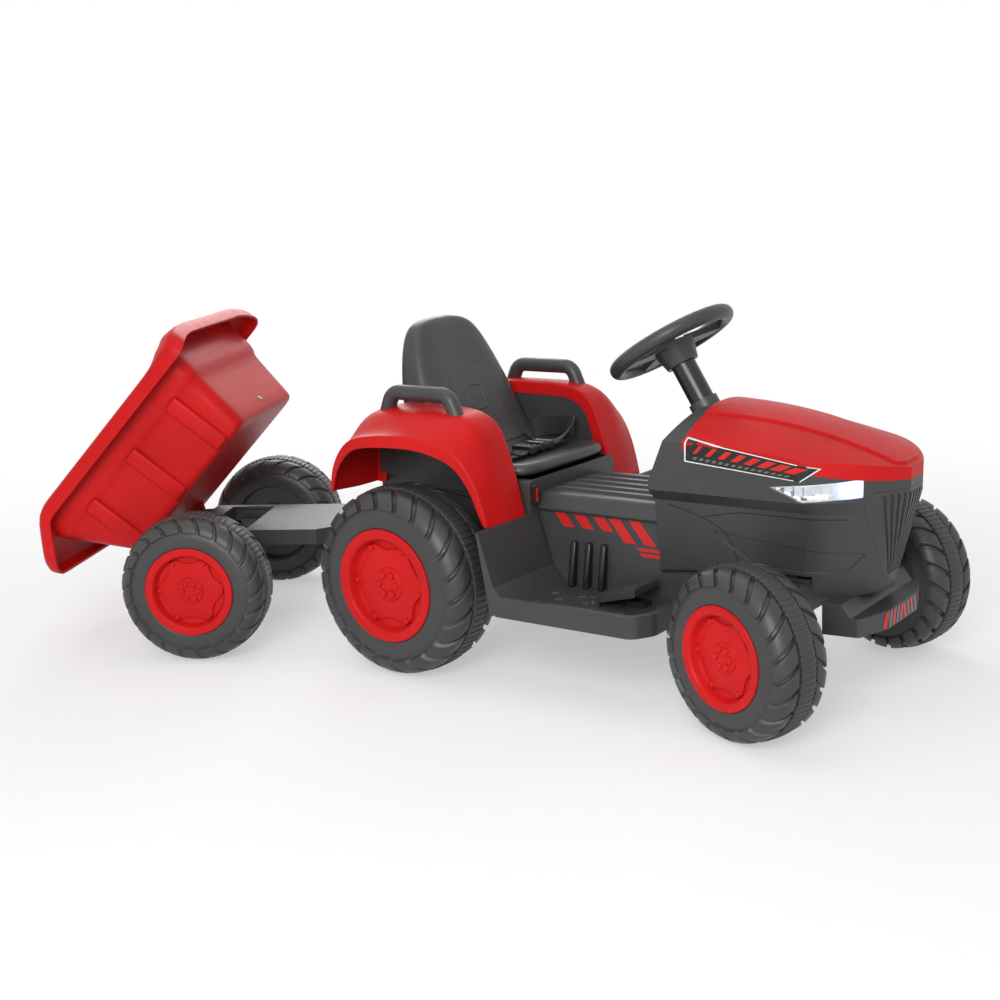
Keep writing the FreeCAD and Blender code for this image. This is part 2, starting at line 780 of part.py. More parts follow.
# Ribbed cover on top of the tunnel
cover_high = tunnel_top + cover_rise
cover_half = tunnel_half_width - corner_round * 0.75
cover_low_half = tunnel_half_width + wall
cover_end = nose_rear + wall * 4
cover = front_slab([(-cover_low_half, tunnel_top - cover_rise),
                    (cover_low_half, tunnel_top - cover_rise),
                    (cover_half, cover_high), (-cover_half, cover_high)],
                   (box_front + seam_gap, cover_end),
                   [wall, wall, corner_round / 2, corner_round / 2])
for k in (-2, -1, 0, 1, 2):
    y = k * cover_rib_pitch
    half = cover_rib_width / 2
    rib = front_slab([(y - half, cover_high - wall), (y + half, cover_high - wall),
                      (y + half * 0.6, cover_high + cover_rib_height),
                      (y - half * 0.6, cover_high + cover_rib_height)],
                     (box_front + corner_round / 2, cover_end - seam_gap))
    cover = cover.fuse(rib)
cover_room = block((box_front + wall * 2, cover_end - wall), (wall - cover_half, cover_half - wall),
                   (tunnel_top - cover_rise, cover_high - wall))
cover = cover.cut([tub_half(-seam_gap), cover_room])
cover = cover.cut([moved(board, X_AXIS * seam_gap) for board in boards])
add("tunnel_cover", cover)


# Nose: plan outlines stacked in height, broken by a ledge under the hood.
def nose_outline(half, front, rear, z):
    """Plan of the nose at one height: straight flanks that round into the front."""
    shoulder = front - half * 0.85
    tip = half * 0.16
    cheek_at = Vector(front - half * nose_cheek_shares[0], half * nose_cheek_shares[1], z)
    left = [Vector(rear, half, z), Vector(shoulder, half * 0.97, z), Vector(front, tip, z)]
    flip = [Vector(p.x, -p.y, p.z) for p in left]
    return Part.Wire([
        Part.LineSegment(flip[0], flip[1]).toShape(),
        Part.Arc(flip[1], Vector(cheek_at.x, -cheek_at.y, z), flip[2]).toShape(),
        Part.LineSegment(flip[2], left[2]).toShape(),
        Part.Arc(left[2], cheek_at, left[1]).toShape(),
        Part.LineSegment(left[1], left[0]).toShape(),
        Part.LineSegment(left[0], flip[0]).toShape()])


def nose_solid(inset, rear=nose_rear):
    """The nose as a full form, inset from its outer skin."""
    levels = [(nose_low, nose_low_half_width - wall, nose_front - nose_rake),
              (nose_break_low, nose_half_width - nose_ledge, nose_front - wall),
              (nose_break, nose_half_width, nose_front),
              (nose_top, nose_half_width - wall, nose_front + wall)]
    wires = [nose_outline(half - inset, front - inset, rear, z) for z, half, front in levels]
    return Part.makeLoft(wires, True, True)


def edge_slab(x_rear, side, sink=0.0):
    """Everything above (side 1) or below (side -1) the seam between nose and hood."""
    far = nose_front + nose_half_width
    end_z = nose_top * 2 if side > 0 else 0
    mid_x = (hood_rear + nose_front) / 2 + nose_rake
    seam = [(hood_rear, hood_edge_rear + sink), (mid_x, hood_edge_mid + sink),
            (nose_front, hood_edge_front + sink), (far, hood_edge_front + sink),
            (far, end_z), (x_rear, end_z)]
    if x_rear < hood_rear:
        seam.append((x_rear, hood_edge_rear + sink))
    return side_slab(seam, (-nose_half_width * 2, nose_half_width * 2))


def lamp_window(grow):
    """Side outline of a lamp, swept across one side of the nose."""
    outline = [(lamp_rear - grow * 2, (lamp_low + lamp_high) / 2 + grow * 0.2),
               (lamp_rear + nose_rake * 1.3, lamp_low - grow),
               (lamp_front - nose_rake * 0.4, lamp_low + nose_ledge * 0.4 - grow),
               (lamp_front + nose_rake, lamp_low + nose_ledge - grow),
               (lamp_front + nose_rake, lamp_high + grow),
               (lamp_rear + nose_rake, lamp_low + nose_ledge * 1.3 + grow)]
    inner = grille_top_half_width + wall - grow
    return side_slab(outline, (-nose_half_width * 2, -inner))


def grille_window(grow):
    """Front outline of the grille, swept through the nose."""
    outline = [(-grille_low_half_width - grow, grille_low - grow),
               (grille_low_half_width + grow, grille_low - grow),
               (grille_top_half_width + grow, grille_top - nose_ledge),
               (grille_top_half_width * grille_top_share + grow, grille_top + grow),
               (-grille_top_half_width * grille_top_share - grow, grille_top + grow),
               (-grille_top_half_width - grow, grille_top - nose_ledge)]
    return front_slab(outline, (nose_front - nose_half_width, nose_front + nose_half_width), wall)


nose = nose_solid(0).cut(nose_solid(wall, nose_rear - overrun))
nose = nose.common(edge_slab(nose_rear - overrun, -1))
dash_cut = side_slab([(nose_rear - overrun, dash_low), (hood_rear, dash_low),
                      (hood_rear, nose_top * 2), (nose_rear - overrun, nose_top * 2)],
                     (-nose_half_width * 2, nose_half_width * 2))
nose = nose.cut(dash_cut)
floor_open = nose_solid(wall).common(block((nose_rear - overrun, nose_front * 2),
                                           (-nose_half_width, nose_half_width),
                                           (nose_low - overrun, nose_low + wall)))
nose = nose.cut(floor_open)
side_panel = side_slab([(nose_rear + nose_rake * 2.2, nose_break_low - nose_rake),
                        (lamp_front - nose_rake, nose_break_low - nose_rake * 1.6),
                        (lamp_front - nose_rake * 1.6, nose_low + nose_rake),
                        (nose_rear + nose_rake * 4.2, nose_low + nose_rake)],
                       (-nose_half_width * 2, nose_half_width * 2), wall)
nose = nose.cut(side_panel.common(nose_solid(-overrun).cut(nose_solid(wall * 0.45))))
nose = nose.cut(grille_window(seam_gap))
lamp_hole = lamp_window(seam_gap)
nose = nose.cut([lamp_hole, mirrored(lamp_hole)])
notch = block((wheelbase - beam_half_width * 1.5, wheelbase + beam_half_width * 1.5),
              (-nose_half_width * 2, nose_half_width * 2), (0, deck_height + wall * 3))
tub_clear = front_slab([(-tunnel_half_width - wall, 0), (tunnel_half_width + wall, 0),
                        (cover_low_half + seam_gap, cover_high + cover_rib_height + seam_gap),
                        (-cover_low_half - seam_gap, cover_high + cover_rib_height + seam_gap)],
                       (nose_rear - overrun, tunnel_front + seam_gap))
nose = nose.cut([notch, tub_clear])
shelf = nose_solid(wall * 0.9).common(block(
    (tunnel_front + wall, deck_front - corner_round), (-nose_half_width, nose_half_width),
    (lip - wall, lip)))
shelf = shelf.cut(block((nose_rear, nose_front), (-deck_half_width - seam_gap, deck_half_width + seam_gap),
                        (nose_low, nose_top)))
nose = nose.fuse(shelf)
add("nose_shell", nose)

grille = grille_window(0).common(nose_solid(0).cut(nose_solid(grille_depth)))
slot_skin = nose_solid(-overrun).cut(nose_solid(grille_slot_depth))
grille_levels = [(grille_low + grille_rim, grille_low_half_width - grille_rim),
                 (grille_top - grille_rim, grille_top_half_width * grille_top_share - grille_rim)]
slots = []
for k in range(grille_slots):
    middle = (2 * k + 1) / grille_slots - 1
    near, far = [[(half * (middle + side * grille_slot_share / grille_slots), z) for side in (-1, 1)]
                 for z, half in grille_levels]
    slot = front_slab([near[0], near[1], far[1], far[0]],
                      (nose_front - nose_half_width, nose_front + nose_half_width))
    slots.append(slot.common(slot_skin))
add("grille", grille.cut(slots))

lens = lamp_window(0).common(nose_solid(0).cut(nose_solid(lamp_lens)))
lens = lens.common(edge_slab(hood_rear, -1)).cut(grille_window(seam_gap * 2))
cup_outer = lamp_window(-seam_gap).common(nose_solid(lamp_lens).cut(nose_solid(lamp_depth)))
cup_inner = lamp_window(-seam_gap - lamp_cup_wall).common(
    nose_solid(0).cut(nose_solid(lamp_depth - lamp_cup_wall)))
cup = cup_outer.cut(cup_inner).common(edge_slab(hood_rear, -1, -wall))
cup = cup.cut(grille_window(seam_gap * 2))


# Hood: a crowned roof over the nose's plan, with a raised middle panel.
def roof(rise):
    """Solid under the hood's crowned top, from the dash to past the front."""
    far = nose_front + nose_rake
    mid_x = (hood_rear + nose_front) / 2
    tops = [(nose_rear - nose_rake, hood_top_rear, hood_crown_rear),
            (hood_rear, hood_top_rear, hood_crown_rear), (mid_x, hood_top_mid, hood_crown_mid),
            (nose_front, hood_top_front, hood_crown_front),
            (far, hood_top_front - nose_rake / 2, hood_crown_front)]
    half = nose_half_width + wall
    wires = []
    for x, top, crown in tops:
        low_left = Vector(x, -half, nose_low)
        low_right = Vector(x, half, nose_low)
        left = Vector(x, -half, top - crown + rise)
        right = Vector(x, half, top - crown + rise)
        wires.append(Part.Wire([
            Part.LineSegment(low_left, low_right).toShape(),
            Part.LineSegment(low_right, right).toShape(),
            Part.Arc(right, Vector(x, 0, top + rise), left).toShape(),
            Part.LineSegment(left, low_left).toShape()]))
    return Part.makeLoft(wires, True, False)


above_seam = edge_slab(hood_rear, 1)
hood = nose_solid(0).common(roof(0)).common(above_seam)
panel_plan = plan_slab([(hood_rear, -hood_panel_half_width),
                        (nose_front, -hood_panel_half_width * 0.55),
                        (nose_front, hood_panel_half_width * 0.55),
                        (hood_rear, hood_panel_half_width)], (nose_break, nose_top))
panel = nose_solid(wall * 2).common(roof(hood_panel_rise)).common(panel_plan)
hood = hood.fuse(panel.common(above_seam)).removeSplitter()
hood = hood.cut(nose_solid(wall).common(roof(-wall)))
add("hood", hood)

# Dash: the driver's side of the nose, with the column's collar and the controls.
dash_outline = [(nose_rear, dash_low), (nose_rear + dash_lean, dash_top_rear),
                (hood_rear, hood_top_rear + overrun), (hood_rear, dash_low)]
dash = nose_solid(0).common(roof(0))
dash = dash.common(side_slab(dash_outline, (-nose_half_width, nose_half_width)))
inner_outline = [(nose_rear + wall, dash_low - overrun),
                 (nose_rear + dash_lean + wall, dash_top_rear - wall * 2),
                 (hood_rear + overrun, hood_top_rear), (hood_rear + overrun, dash_low - overrun)]
dash_room = nose_solid(wall).common(roof(-wall))
dash_room = dash_room.common(side_slab(inner_outline, (-nose_half_width, nose_half_width)))
dash = dash.cut(dash_room)
collar = rod(column_radius + wall, column_bottom + column_axis * wall,
             column_bottom + column_axis * column_length * 0.2)
dash = dash.fuse(collar).cut(column_clear)
face_up = Vector(dash_lean, 0, dash_top_rear - dash_low).normalize()
face_out = Vector(-face_up.z, 0, face_up.x)
face_mid = Vector(nose_rear + dash_lean / 2, 0, (dash_low + dash_top_rear) / 2)
button_at = face_mid + Y_AXIS * (nose_half_width * 0.45)
rocker_at = face_mid - Y_AXIS * (nose_half_width * 0.45)
dash = dash.cut([rod(button_radius + seam_gap, button_at - face_out * wall * 4,
                     button_at + face_out * wall * 4),
                 rod(button_radius + wall, button_at - face_out * wall * 4,
                     button_at - face_out * wall)])
socket_at = face_mid + Y_AXIS * (nose_half_width * 0.24)
dash = dash.cut(rod(socket_radius + seam_gap, socket_at - face_out * wall * 4, socket_at + face_out * wall))
charge = rod(socket_radius, socket_at - face_out * (socket_depth + wall), socket_at + face_out * wall)
charge = charge.fuse(rod(socket_radius + wall, socket_at, socket_at + face_out * wall))
charge = charge.cut(rod(socket_bore, socket_at - face_out * (socket_depth - wall),
                        socket_at + face_out * (wall + overrun)))
add("charge_socket", charge)
rocker_frame = Placement(rocker_at, Rotation(Y_AXIS, face_up, face_out, "ZXY"))
bezel_length = rocker_length + wall * 2.4
bezel_width = rocker_width + wall * 2.4


def panel_box(length, width, low, high):
    """Box on the dash face: length up the face, width across it."""
    box = block((-width / 2, width / 2), (-length / 2, length / 2), (low, high))
    box.Placement = rocker_frame
    return box


dash = dash.cut(panel_box(rocker_length + rocker_gap * 2 + wall, rocker_width + rocker_gap * 2 + wall,
                          -wall * 3, wall * 3))
add("dash_panel", dash)
bezel = panel_box(bezel_length, bezel_width, 0, wall * 0.7)
bezel = bezel.fuse(panel_box(rocker_length + rocker_gap * 2 + wall - seam_gap * 2,
                             rocker_width + rocker_gap * 2 + wall - seam_gap * 2, -wall * 2.2, 0))
bezel = bezel.cut(panel_box(rocker_length + rocker_gap * 2, rocker_width + seam_gap * 2,
                            -wall * 3, wall * 3))
rocker_axle = [rocker_frame.multVec(Vector(side * (rocker_width / 2 + wall * 0.6), 0, -wall))
               for side in (-1, 1)]
bezel = bezel.cut(rod(rocker_pin + running_gap, rocker_axle[0], rocker_axle[1]))
add("rocker_bezel", bezel)
rocker = panel_box(rocker_length, rocker_width, -wall * 2, wall * 1.3)
hollow_top = rod(rocker_length * 1.6,
                 rocker_frame.multVec(Vector(-rocker_width, 0, wall * 0.6 + rocker_length * 1.6)),
                 rocker_frame.multVec(Vector(rocker_width, 0, wall * 0.6 + rocker_length * 1.6)))
rocker = rocker.cut(hollow_top)
pin_in = [rocker_frame.multVec(Vector(side * (rocker_width / 2 + wall * 0.5), 0, -wall))
          for side in (-1, 1)]
rocker = rocker.fuse(rod(rocker_pin, pin_in[0], pin_in[1])).removeSplitter()
add("direction_rocker", rocker)
button = rod(button_radius, button_at - face_out * wall * 2, button_at + face_out * wall * 1.4)
button = button.fuse(rod(button_radius + wall * 0.7, button_at - face_out * wall * 2,
                         button_at - face_out * (wall + seam_gap)))
add("power_button", button)

# Lamps
lamp_out = Vector(0.6, -0.8, 0)
lamp_spot = Vector(nose_front - nose_half_width * nose_cheek_shares[0],
                   -nose_half_width * nose_cheek_shares[1], lamp_low + nose_ledge)
led = rod(led_radius, lamp_spot - lamp_out * lamp_depth * 1.5, lamp_spot - lamp_out * lamp_lens * 3)
led_hole = rod(led_radius + seam_gap, lamp_spot - lamp_out * lamp_depth * 2, lamp_spot)
cup = cup.cut(led_hole)
add("headlamp_lenses", Part.makeCompound([lens, mirrored(lens)]))
add("headlamp_reflectors", Part.makeCompound([cup, mirrored(cup)]))
add("headlamp_leds", Part.makeCompound([led, mirrored(led)]))

# Bumper under the nose, a hollow angular block
def bumper_solid(inset):
    """The bumper's outer form, or its inside."""
    half = bumper_half_width - inset
    face = bumper_face_half_width - inset / 2
    cheek_x = bumper_front - nose_rake * 0.5 - inset
    plan = plan_slab([(bumper_rear, -half), (cheek_x, -half * 0.95), (bumper_front - inset, -face),
                      (bumper_front - inset, face), (cheek_x, half * 0.95), (bumper_rear, half)],
                     (bumper_low - inset, nose_low - inset),
                     [0, bumper_round, bumper_round, bumper_round, bumper_round, 0])
    side = side_slab([(bumper_rear - inset * 2, bumper_low - inset * 2),
                      (bumper_front, bumper_low - inset * 2),
                      (bumper_front, bumper_top - inset),
                      (bumper_front - nose_rake * 0.8, bumper_top - inset),
                      (bumper_front - nose_rake * 1.2, nose_low - inset),
                      (bumper_rear - inset * 2, nose_low - inset)], (-half * 2, half * 2))
    return plan.common(side)


bumper = bumper_solid(0).cut(bumper_solid(wall))
add("front_bumper", bumper)

# Fenders: a lofted shell with a flared side, an arch opening and a band along the seat.
fender_inner_shares = [(0.0, 0.2), (0.025, 0.68), (0.126, 0.93), (0.668, 0.993), (0.856, 0.833),
                       (0.957, 0.387), (1.0, 0.0)]
fender_outer_shares = [(0.025, 0.29), (0.07, 0.58), (0.18, 0.78), (0.61, 0.793), (0.812, 0.627),
                       (0.9, 0.447), (0.96, 0.027)]
fender_round_shares = [0.2, 0.8, 1.0, 1.3, 1.3, 1.3, 0.2]
fender_flare_shares = [(0.0, 0.0), (0.4, 0.0), (0.82, 0.78), (1.0, 1.0)]
fender_plan_shares = [(1.0, 0.55), (0.75, 0.8), (0.45, 1.0)]


def fender_wire(y, flare, inset):
    """Side outline of the fender, from the seat's side (0) to the wheel's side (1)."""
    length = fender_front - fender_rear
    height = fender_top - fender_low
    points = []
    for near, far in zip(fender_inner_shares, fender_outer_shares):
        a = near[0] + (far[0] - near[0]) * flare
        b = near[1] + (far[1] - near[1]) * flare
        x = fender_rear + length * a
        x += inset * (1 - 2 * a)
        z = fender_low + height * b
        z -= inset * (1 if b > 0.2 else 2)
        points.append(Vector(x, y, z))
    radii = [max(fender_round * share - inset / 2, wall / 2) for share in fender_round_shares]
    return rounded(points, radii)


def fender_solid(inset, inner, outer):
    """The fender's full form between two distances from the middle."""
    span = fender_outer - fender_inner
    wires = []
    for along_share, flare in fender_flare_shares:
        y = min(max(fender_inner + span * along_share, inner), outer)
        wires.append(fender_wire(y, flare, inset))
    form = Part.makeLoft(wires, True, True)
    length = fender_front - fender_rear
    edge = [(fender_rear + length * a, fender_inner + span * b - inset)
            for a, b in fender_plan_shares]
    plan = [(fender_rear - overrun, inner - overrun), (fender_front + overrun, inner - overrun),
            (fender_front + overrun, edge[0][1])] + edge[1:]
    plan.append((fender_rear - overrun, edge[-1][1]))
    return form.common(plan_slab(plan, (fender_low - fender_band * 2, fender_top * 2)))


fender_full = fender_solid(0, fender_inner, fender_outer)
fender = fender_full.cut(fender_solid(wall, fender_inner + wall, fender_outer - wall))
window = Part.Face(fender_wire(fender_inner - overrun, 0.0, fender_band))
fender = fender.cut(window.extrude(Y_AXIS * (wall * 2 + overrun)))
arch_long = max(arch_length, arch_height) / 2
arch_short = min(arch_length, arch_height) / 2
arch_way = X_AXIS if arch_length >= arch_height else Z_AXIS
arch = Part.Ellipse(ORIGIN, arch_long, arch_short).toShape()
arch = Part.Face(Part.Wire(arch)).extrude(Z_AXIS * (fender_outer - fender_inner))
arch.Placement = Placement(Vector(arch_centre_x, fender_outer + overrun, arch_centre_z),
                           Rotation(arch_way, Z_AXIS, -Y_AXIS, "ZXY"))
fender = fender.cut(arch.common(block((fender_rear, fender_front),
                                      (fender_inner + wall * 3, fender_outer * 2),
                                      (0, fender_top))))
add("fender_left", fender)
add("fender_right", mirrored(fender))
tub = shell
splash_fill = mirrored(fender_full).fuse(fender_full)
tub = tub.cut(splash_fill)
mount_low = box_top - wall * 6
cheek = side_slab([(cheek_rear, mount_low), (cheek_front, mount_low),
                   (cheek_front - wall * 4, cheek_top - corner_round), (cheek_rear, cheek_top)],
                  (fender_inner + wall + seam_gap, fender_inner + wall * 2),
                  [wall, wall, corner_round * 1.5, corner_round * 1.5])
bridge = block((cheek_rear + wall, cheek_front - wall),
               (body_half_width - wall * 2, fender_inner + wall * 2),
               (mount_low, mount_low + wall))
tub = tub.fuse([cheek, bridge, mirrored(cheek), mirrored(bridge)])


# Armrest: a bent round handle standing on each fender
def armrest():
    """U-shaped handle with splayed legs, seated on the fender."""
    high = fender_top + armrest_rise - armrest_radius
    low = fender_top - overrun * 4
    ends = [Vector(armrest_rear - armrest_splay, armrest_y, low),
            Vector(armrest_rear, armrest_y, high), Vector(armrest_front, armrest_y, high),
            Vector(armrest_front + armrest_splay, armrest_y, low)]
    edges = []
    last = ends[0]
    for before, corner, after in zip(ends, ends[1:], ends[2:]):
        back = (before - corner).normalize()
        ahead = (after - corner).normalize()
        half = back.getAngle(ahead) / 2
        reach = armrest_bend / math.tan(half)
        middle = corner + (back + ahead).normalize() * (armrest_bend / math.sin(half) - armrest_bend)
        edges.append(Part.LineSegment(last, corner + back * reach).toShape())
        edges.append(Part.Arc(corner + back * reach, middle, corner + ahead * reach).toShape())
        last = corner + ahead * reach
    edges.append(Part.LineSegment(last, ends[3]).toShape())
    path = Part.Wire(edges)
    ring = Part.Wire(Part.Circle(ends[0], ends[1] - ends[0], armrest_radius).toShape())
    return path.makePipeShell([ring], True, False).cut(fender_full)


handle = armrest()
add("armrest_left", handle)
add("armrest_right", mirrored(handle))

# Seat: a moulded pan that sweeps up into a dished back with an arched panel
pan_top = box_top + seat_pan_height
back_shares = [(0.0, 0.00, 1.00, 0.98), (0.3, -0.16, 0.86, 0.96), (0.55, -0.32, 0.72, 0.87),
               (0.78, -0.45, 0.58, 0.70), (0.93, -0.53, 0.42, 0.50), (1.0, -0.57, 0.20, 0.30)]


def back_wire(height_share, lean_share, depth_share, width_share, inset):
    """Level section of the seat back, dished towards the sitter."""
    z = box_top + (back_top - box_top) * height_share
    deep = back_depth * depth_share - inset
    wide = seat_half_width * width_share - inset
    points = []
    for k in range(back_points):
        angle = 2 * math.pi * k / back_points
        c, s = math.cos(angle), math.sin(angle)
        x = math.copysign(abs(c) ** 0.7, c) * deep
        y = math.copysign(abs(s) ** 0.7, s) * wide
        if c > 0:
            x -= seat_dish * 2 * depth_share * (1 - (y / wide) ** 2)
        points.append(Vector(back_base_x + back_reach * lean_share + x, y, z))
    curve = Part.BSplineCurve()
    curve.interpolate(points, PeriodicFlag=True)
    return Part.Wire(curve.toShape())


seat_back = Part.makeLoft([back_wire(a, b, c, d, 0) for a, b, c, d in back_shares], True, False)
pan_outline = [(seat_rear, box_top), (seat_front, box_top), (seat_front, pan_top - seat_dish),
               (seat_front - corner_round, pan_top), (corner_round * 2, pan_top - seat_dish),
               (seat_rear, pan_top - seat_dish)]
pan = side_slab(pan_outline, (-seat_half_width, seat_half_width),
                [0, wall, wall * 2, corner_round, corner_round * 2, 0])
pan_plan = plan_slab([(seat_rear, -seat_half_width), (seat_front, -seat_half_width * 0.98),
                      (seat_front, seat_half_width * 0.98), (seat_rear, seat_half_width)],
                     (box_top - overrun, pan_top + overrun),
                     [corner_round, corner_round * 1.6, corner_round * 1.6, corner_round])
pan = pan.common(pan_plan)
panel_low = box_top + (back_top - box_top) * 0.18
panel_high = box_top + (back_top - box_top) * 0.62
panel_half = seat_half_width * 0.42
arched = front_slab([(-panel_half, panel_low), (panel_half, panel_low),
                     (panel_half * 0.9, panel_high), (-panel_half * 0.9, panel_high)],
                    (back_base_x - back_reach * 0.55, seat_front),
                    [wall, wall, panel_half * 0.5, panel_half * 0.5])
skin = seat_back.cut(moved(seat_back, X_AXIS * -back_panel_depth))
seat_back = seat_back.cut(arched.common(skin))
seat = pan.fuse(seat_back).removeSplitter()
inner_shares = [(a, b, c, d) for a, b, c, d in back_shares if a < 0.9]
room = Part.makeLoft([back_wire(a, b, c, d, wall * 2.5) for a, b, c, d in inner_shares], True, False)
seat = seat.cut(room)
under = block((seat_rear + wall * 2, seat_front - wall * 4),
              (wall * 4 - seat_half_width, seat_half_width - wall * 4),
              (box_top - overrun, pan_top - seat_dish - wall * 1.2))
seat = seat.cut(under)
add("seat", seat)

# Seat latch: a turn button on the front of the seat box
latch_z = box_top - latch_height * 0.75
latch_at = Vector(box_front, latch_y, latch_z)
latch = front_slab([(latch_y - latch_width / 2, latch_z - latch_height * 0.45),
                    (latch_y + latch_width / 2, latch_z - latch_height * 0.45),
                    (latch_y + latch_width / 2, latch_z + latch_height * 0.55),
                    (latch_y - latch_width / 2, latch_z + latch_height * 0.55)],
                   (box_front + side_gap, box_front + side_gap + latch_depth), latch_width * 0.4)
latch_pivot = rod(latch_width * 0.22, latch_at - X_AXIS * wall * 2, latch_at + X_AXIS * latch_depth)
latch = latch.fuse(latch_pivot)
tub = tub.cut(rod(latch_width * 0.22 + running_gap, latch_at - X_AXIS * wall * 4,
                  latch_at + X_AXIS * latch_depth))
add("seat_latch", latch)

# Lap belt: two straps meeting at a side-release buckle
belt_z = pan_top - seat_dish * 0.24 + seam_gap
buckle_half = buckle_length / 2


def strap(side, rise):
    """Webbing from the seat's edge to the buckle, bowed up by its own stiffness."""
    start = side * (seat_half_width - wall)
    end = side * buckle_half
    low = []
    high = []
    for k in range(9):
        share = k / 8
        y = start + (end - start) * share
        z = belt_z + rise * math.sin(math.pi * share)
        z += share * (buckle_height - belt_thickness) / 2
        low.append(Vector(belt_x, y, z))
        high.append(Vector(belt_x, y, z + belt_thickness))
    curves = []
    for points in (low, high):
        curve = Part.BSplineCurve()
        curve.interpolate(points)
        curves.append(curve.toShape())
    ends = [Part.LineSegment(low[0], high[0]).toShape(), Part.LineSegment(low[-1], high[-1]).toShape()]
    face = Part.Face(Part.Wire(Part.__sortEdges__(curves + ends)))
    return face.extrude(X_AXIS * belt_width)


add("belt_right", strap(-1, seat_dish))
add("belt_left", strap(1, buckle_height * 2))
mid_x = belt_x + belt_width / 2
half = belt_width * 0.62
socket_box = block((mid_x - half, mid_x + half), (0, buckle_half), (belt_z, belt_z + buckle_height))
socket_box = round_edges(socket_box, wall, lambda edge: True)
prong = block((mid_x - half * 0.55, mid_x + half * 0.55), (-buckle_half, 0),
              (belt_z + buckle_height * 0.2, belt_z + buckle_height * 0.8))
yoke = block((mid_x - half, mid_x + half), (-buckle_half, -buckle_half * 0.35),
             (belt_z, belt_z + buckle_height))
yoke = round_edges(yoke, wall, lambda edge: True)
add("buckle_socket", socket_box)
add("buckle_plug", prong.fuse(yoke).removeSplitter())

# Drive: a gearbox beside each rear wheel, its motor reaching into the seat box, and the battery
gear_out = rear_face - rear_width - side_gap
gear_in = body_half_width + seam_gap
gearboxes = []
motors = []
for sign in (1, -1):
    hub_in = Vector(0, sign * gear_in, rear_radius)
    hub_out = Vector(0, sign * gear_out, rear_radius)
    top_in = Vector(motor_x, sign * gear_in, motor_z)
    top_out = Vector(motor_x, sign * (gear_out - wall * 2), motor_z)
    lean = Vector(motor_z - rear_radius, 0, -motor_x).normalize()
    big = gearbox_radius
    small = motor_radius + wall * 2
    plate = [hub_in + lean * big, top_in + lean * small, top_in - lean * small, hub_in - lean * big]
    link = Part.Face(rounded(plate, 0)).extrude(Y_AXIS * sign * (gear_out - gear_in - wall * 2))
    box = rod(big, hub_in, hub_out).fuse([rod(small, top_in, top_out), link]).removeSplitter()
    box = box.cut(rod(axle_radius + seam_gap, hub_in - Y_AXIS * sign * overrun,
                      hub_out + Y_AXIS * sign * overrun))
    gearboxes.append(box)
    motors.append(rod(motor_radius, top_in - Y_AXIS * sign * motor_length, top_in))
add("gearboxes", Part.makeCompound(gearboxes))
add("drive_motors", Part.makeCompound(motors))
battery_x = (box_front - battery_length) / 2
battery = block((battery_x, battery_x + battery_length), (-battery_width / 2, battery_width / 2),
                (floor_height, floor_height + battery_height))
for side in (-1, 1):
    tab_y = side * battery_width * 0.3
    battery = battery.fuse(block((battery_x + wall * 2, battery_x + wall * 5),
                                 (tab_y - wall, tab_y + wall),
                                 (floor_height + battery_height - wall,
                                  floor_height + battery_height + wall)))
add("battery", battery)

# Pedal: a sloped plate on a cross pin between two ears of the footboard
pedal_pin_z = floor_height + pedal_pin_radius * 2.6
pedal_left = pedal_y - pedal_width / 2
pedal_right = pedal_y + pedal_width / 2
ear_width = wall * 1.6
pedal_barrel = pedal_pin_radius * 2
pedal = side_slab([(pedal_x, pedal_pin_z - wall),
                   (pedal_x + pedal_length, pedal_pin_z + pedal_rise - wall * 4),
                   (pedal_x + pedal_length, pedal_pin_z + pedal_rise),
                   (pedal_x, pedal_pin_z + pedal_barrel)], (pedal_left, pedal_right),
                  [0, wall, wall, 0])
pedal_hinge = [Vector(pedal_x, pedal_left, pedal_pin_z), Vector(pedal_x, pedal_right, pedal_pin_z)]
pedal = pedal.fuse(rod(pedal_barrel, pedal_hinge[0], pedal_hinge[1]))
pedal = pedal.cut(rod(pedal_pin_radius + running_gap, pedal_hinge[0] - Y_AXIS * overrun,
                      pedal_hinge[1] + Y_AXIS * overrun))
add("pedal", pedal)
ears = []
for y in (pedal_left - side_gap - ear_width, pedal_right + side_gap):
    ears.append(side_slab([(pedal_x - pedal_barrel * 1.4, floor_height - wall / 2),
                           (pedal_x + pedal_barrel * 1.4, floor_height - wall / 2),
                           (pedal_x + pedal_barrel * 0.8, pedal_pin_z + pedal_barrel),
                           (pedal_x - pedal_barrel * 0.8, pedal_pin_z + pedal_barrel)],
                          (y, y + ear_width)))
pin_start = pedal_hinge[0] - Y_AXIS * (side_gap + ear_width)
pin_end = pedal_hinge[1] + Y_AXIS * (side_gap + ear_width)
tub = tub.fuse(ears).cut(rod(pedal_pin_radius, pin_start - Y_AXIS * overrun, pin_end))
add("pedal_pin", rod(pedal_pin_radius, pin_start, pin_end))
switch_x = pedal_x + pedal_length * 0.6
switch_high = pedal_pin_z
add("pedal_switch", block((switch_x, switch_x + pedal_rise), (pedal_y - wall * 3, pedal_y + wall * 3),
                          (floor_height, switch_high)))

add("body_tub", tub)

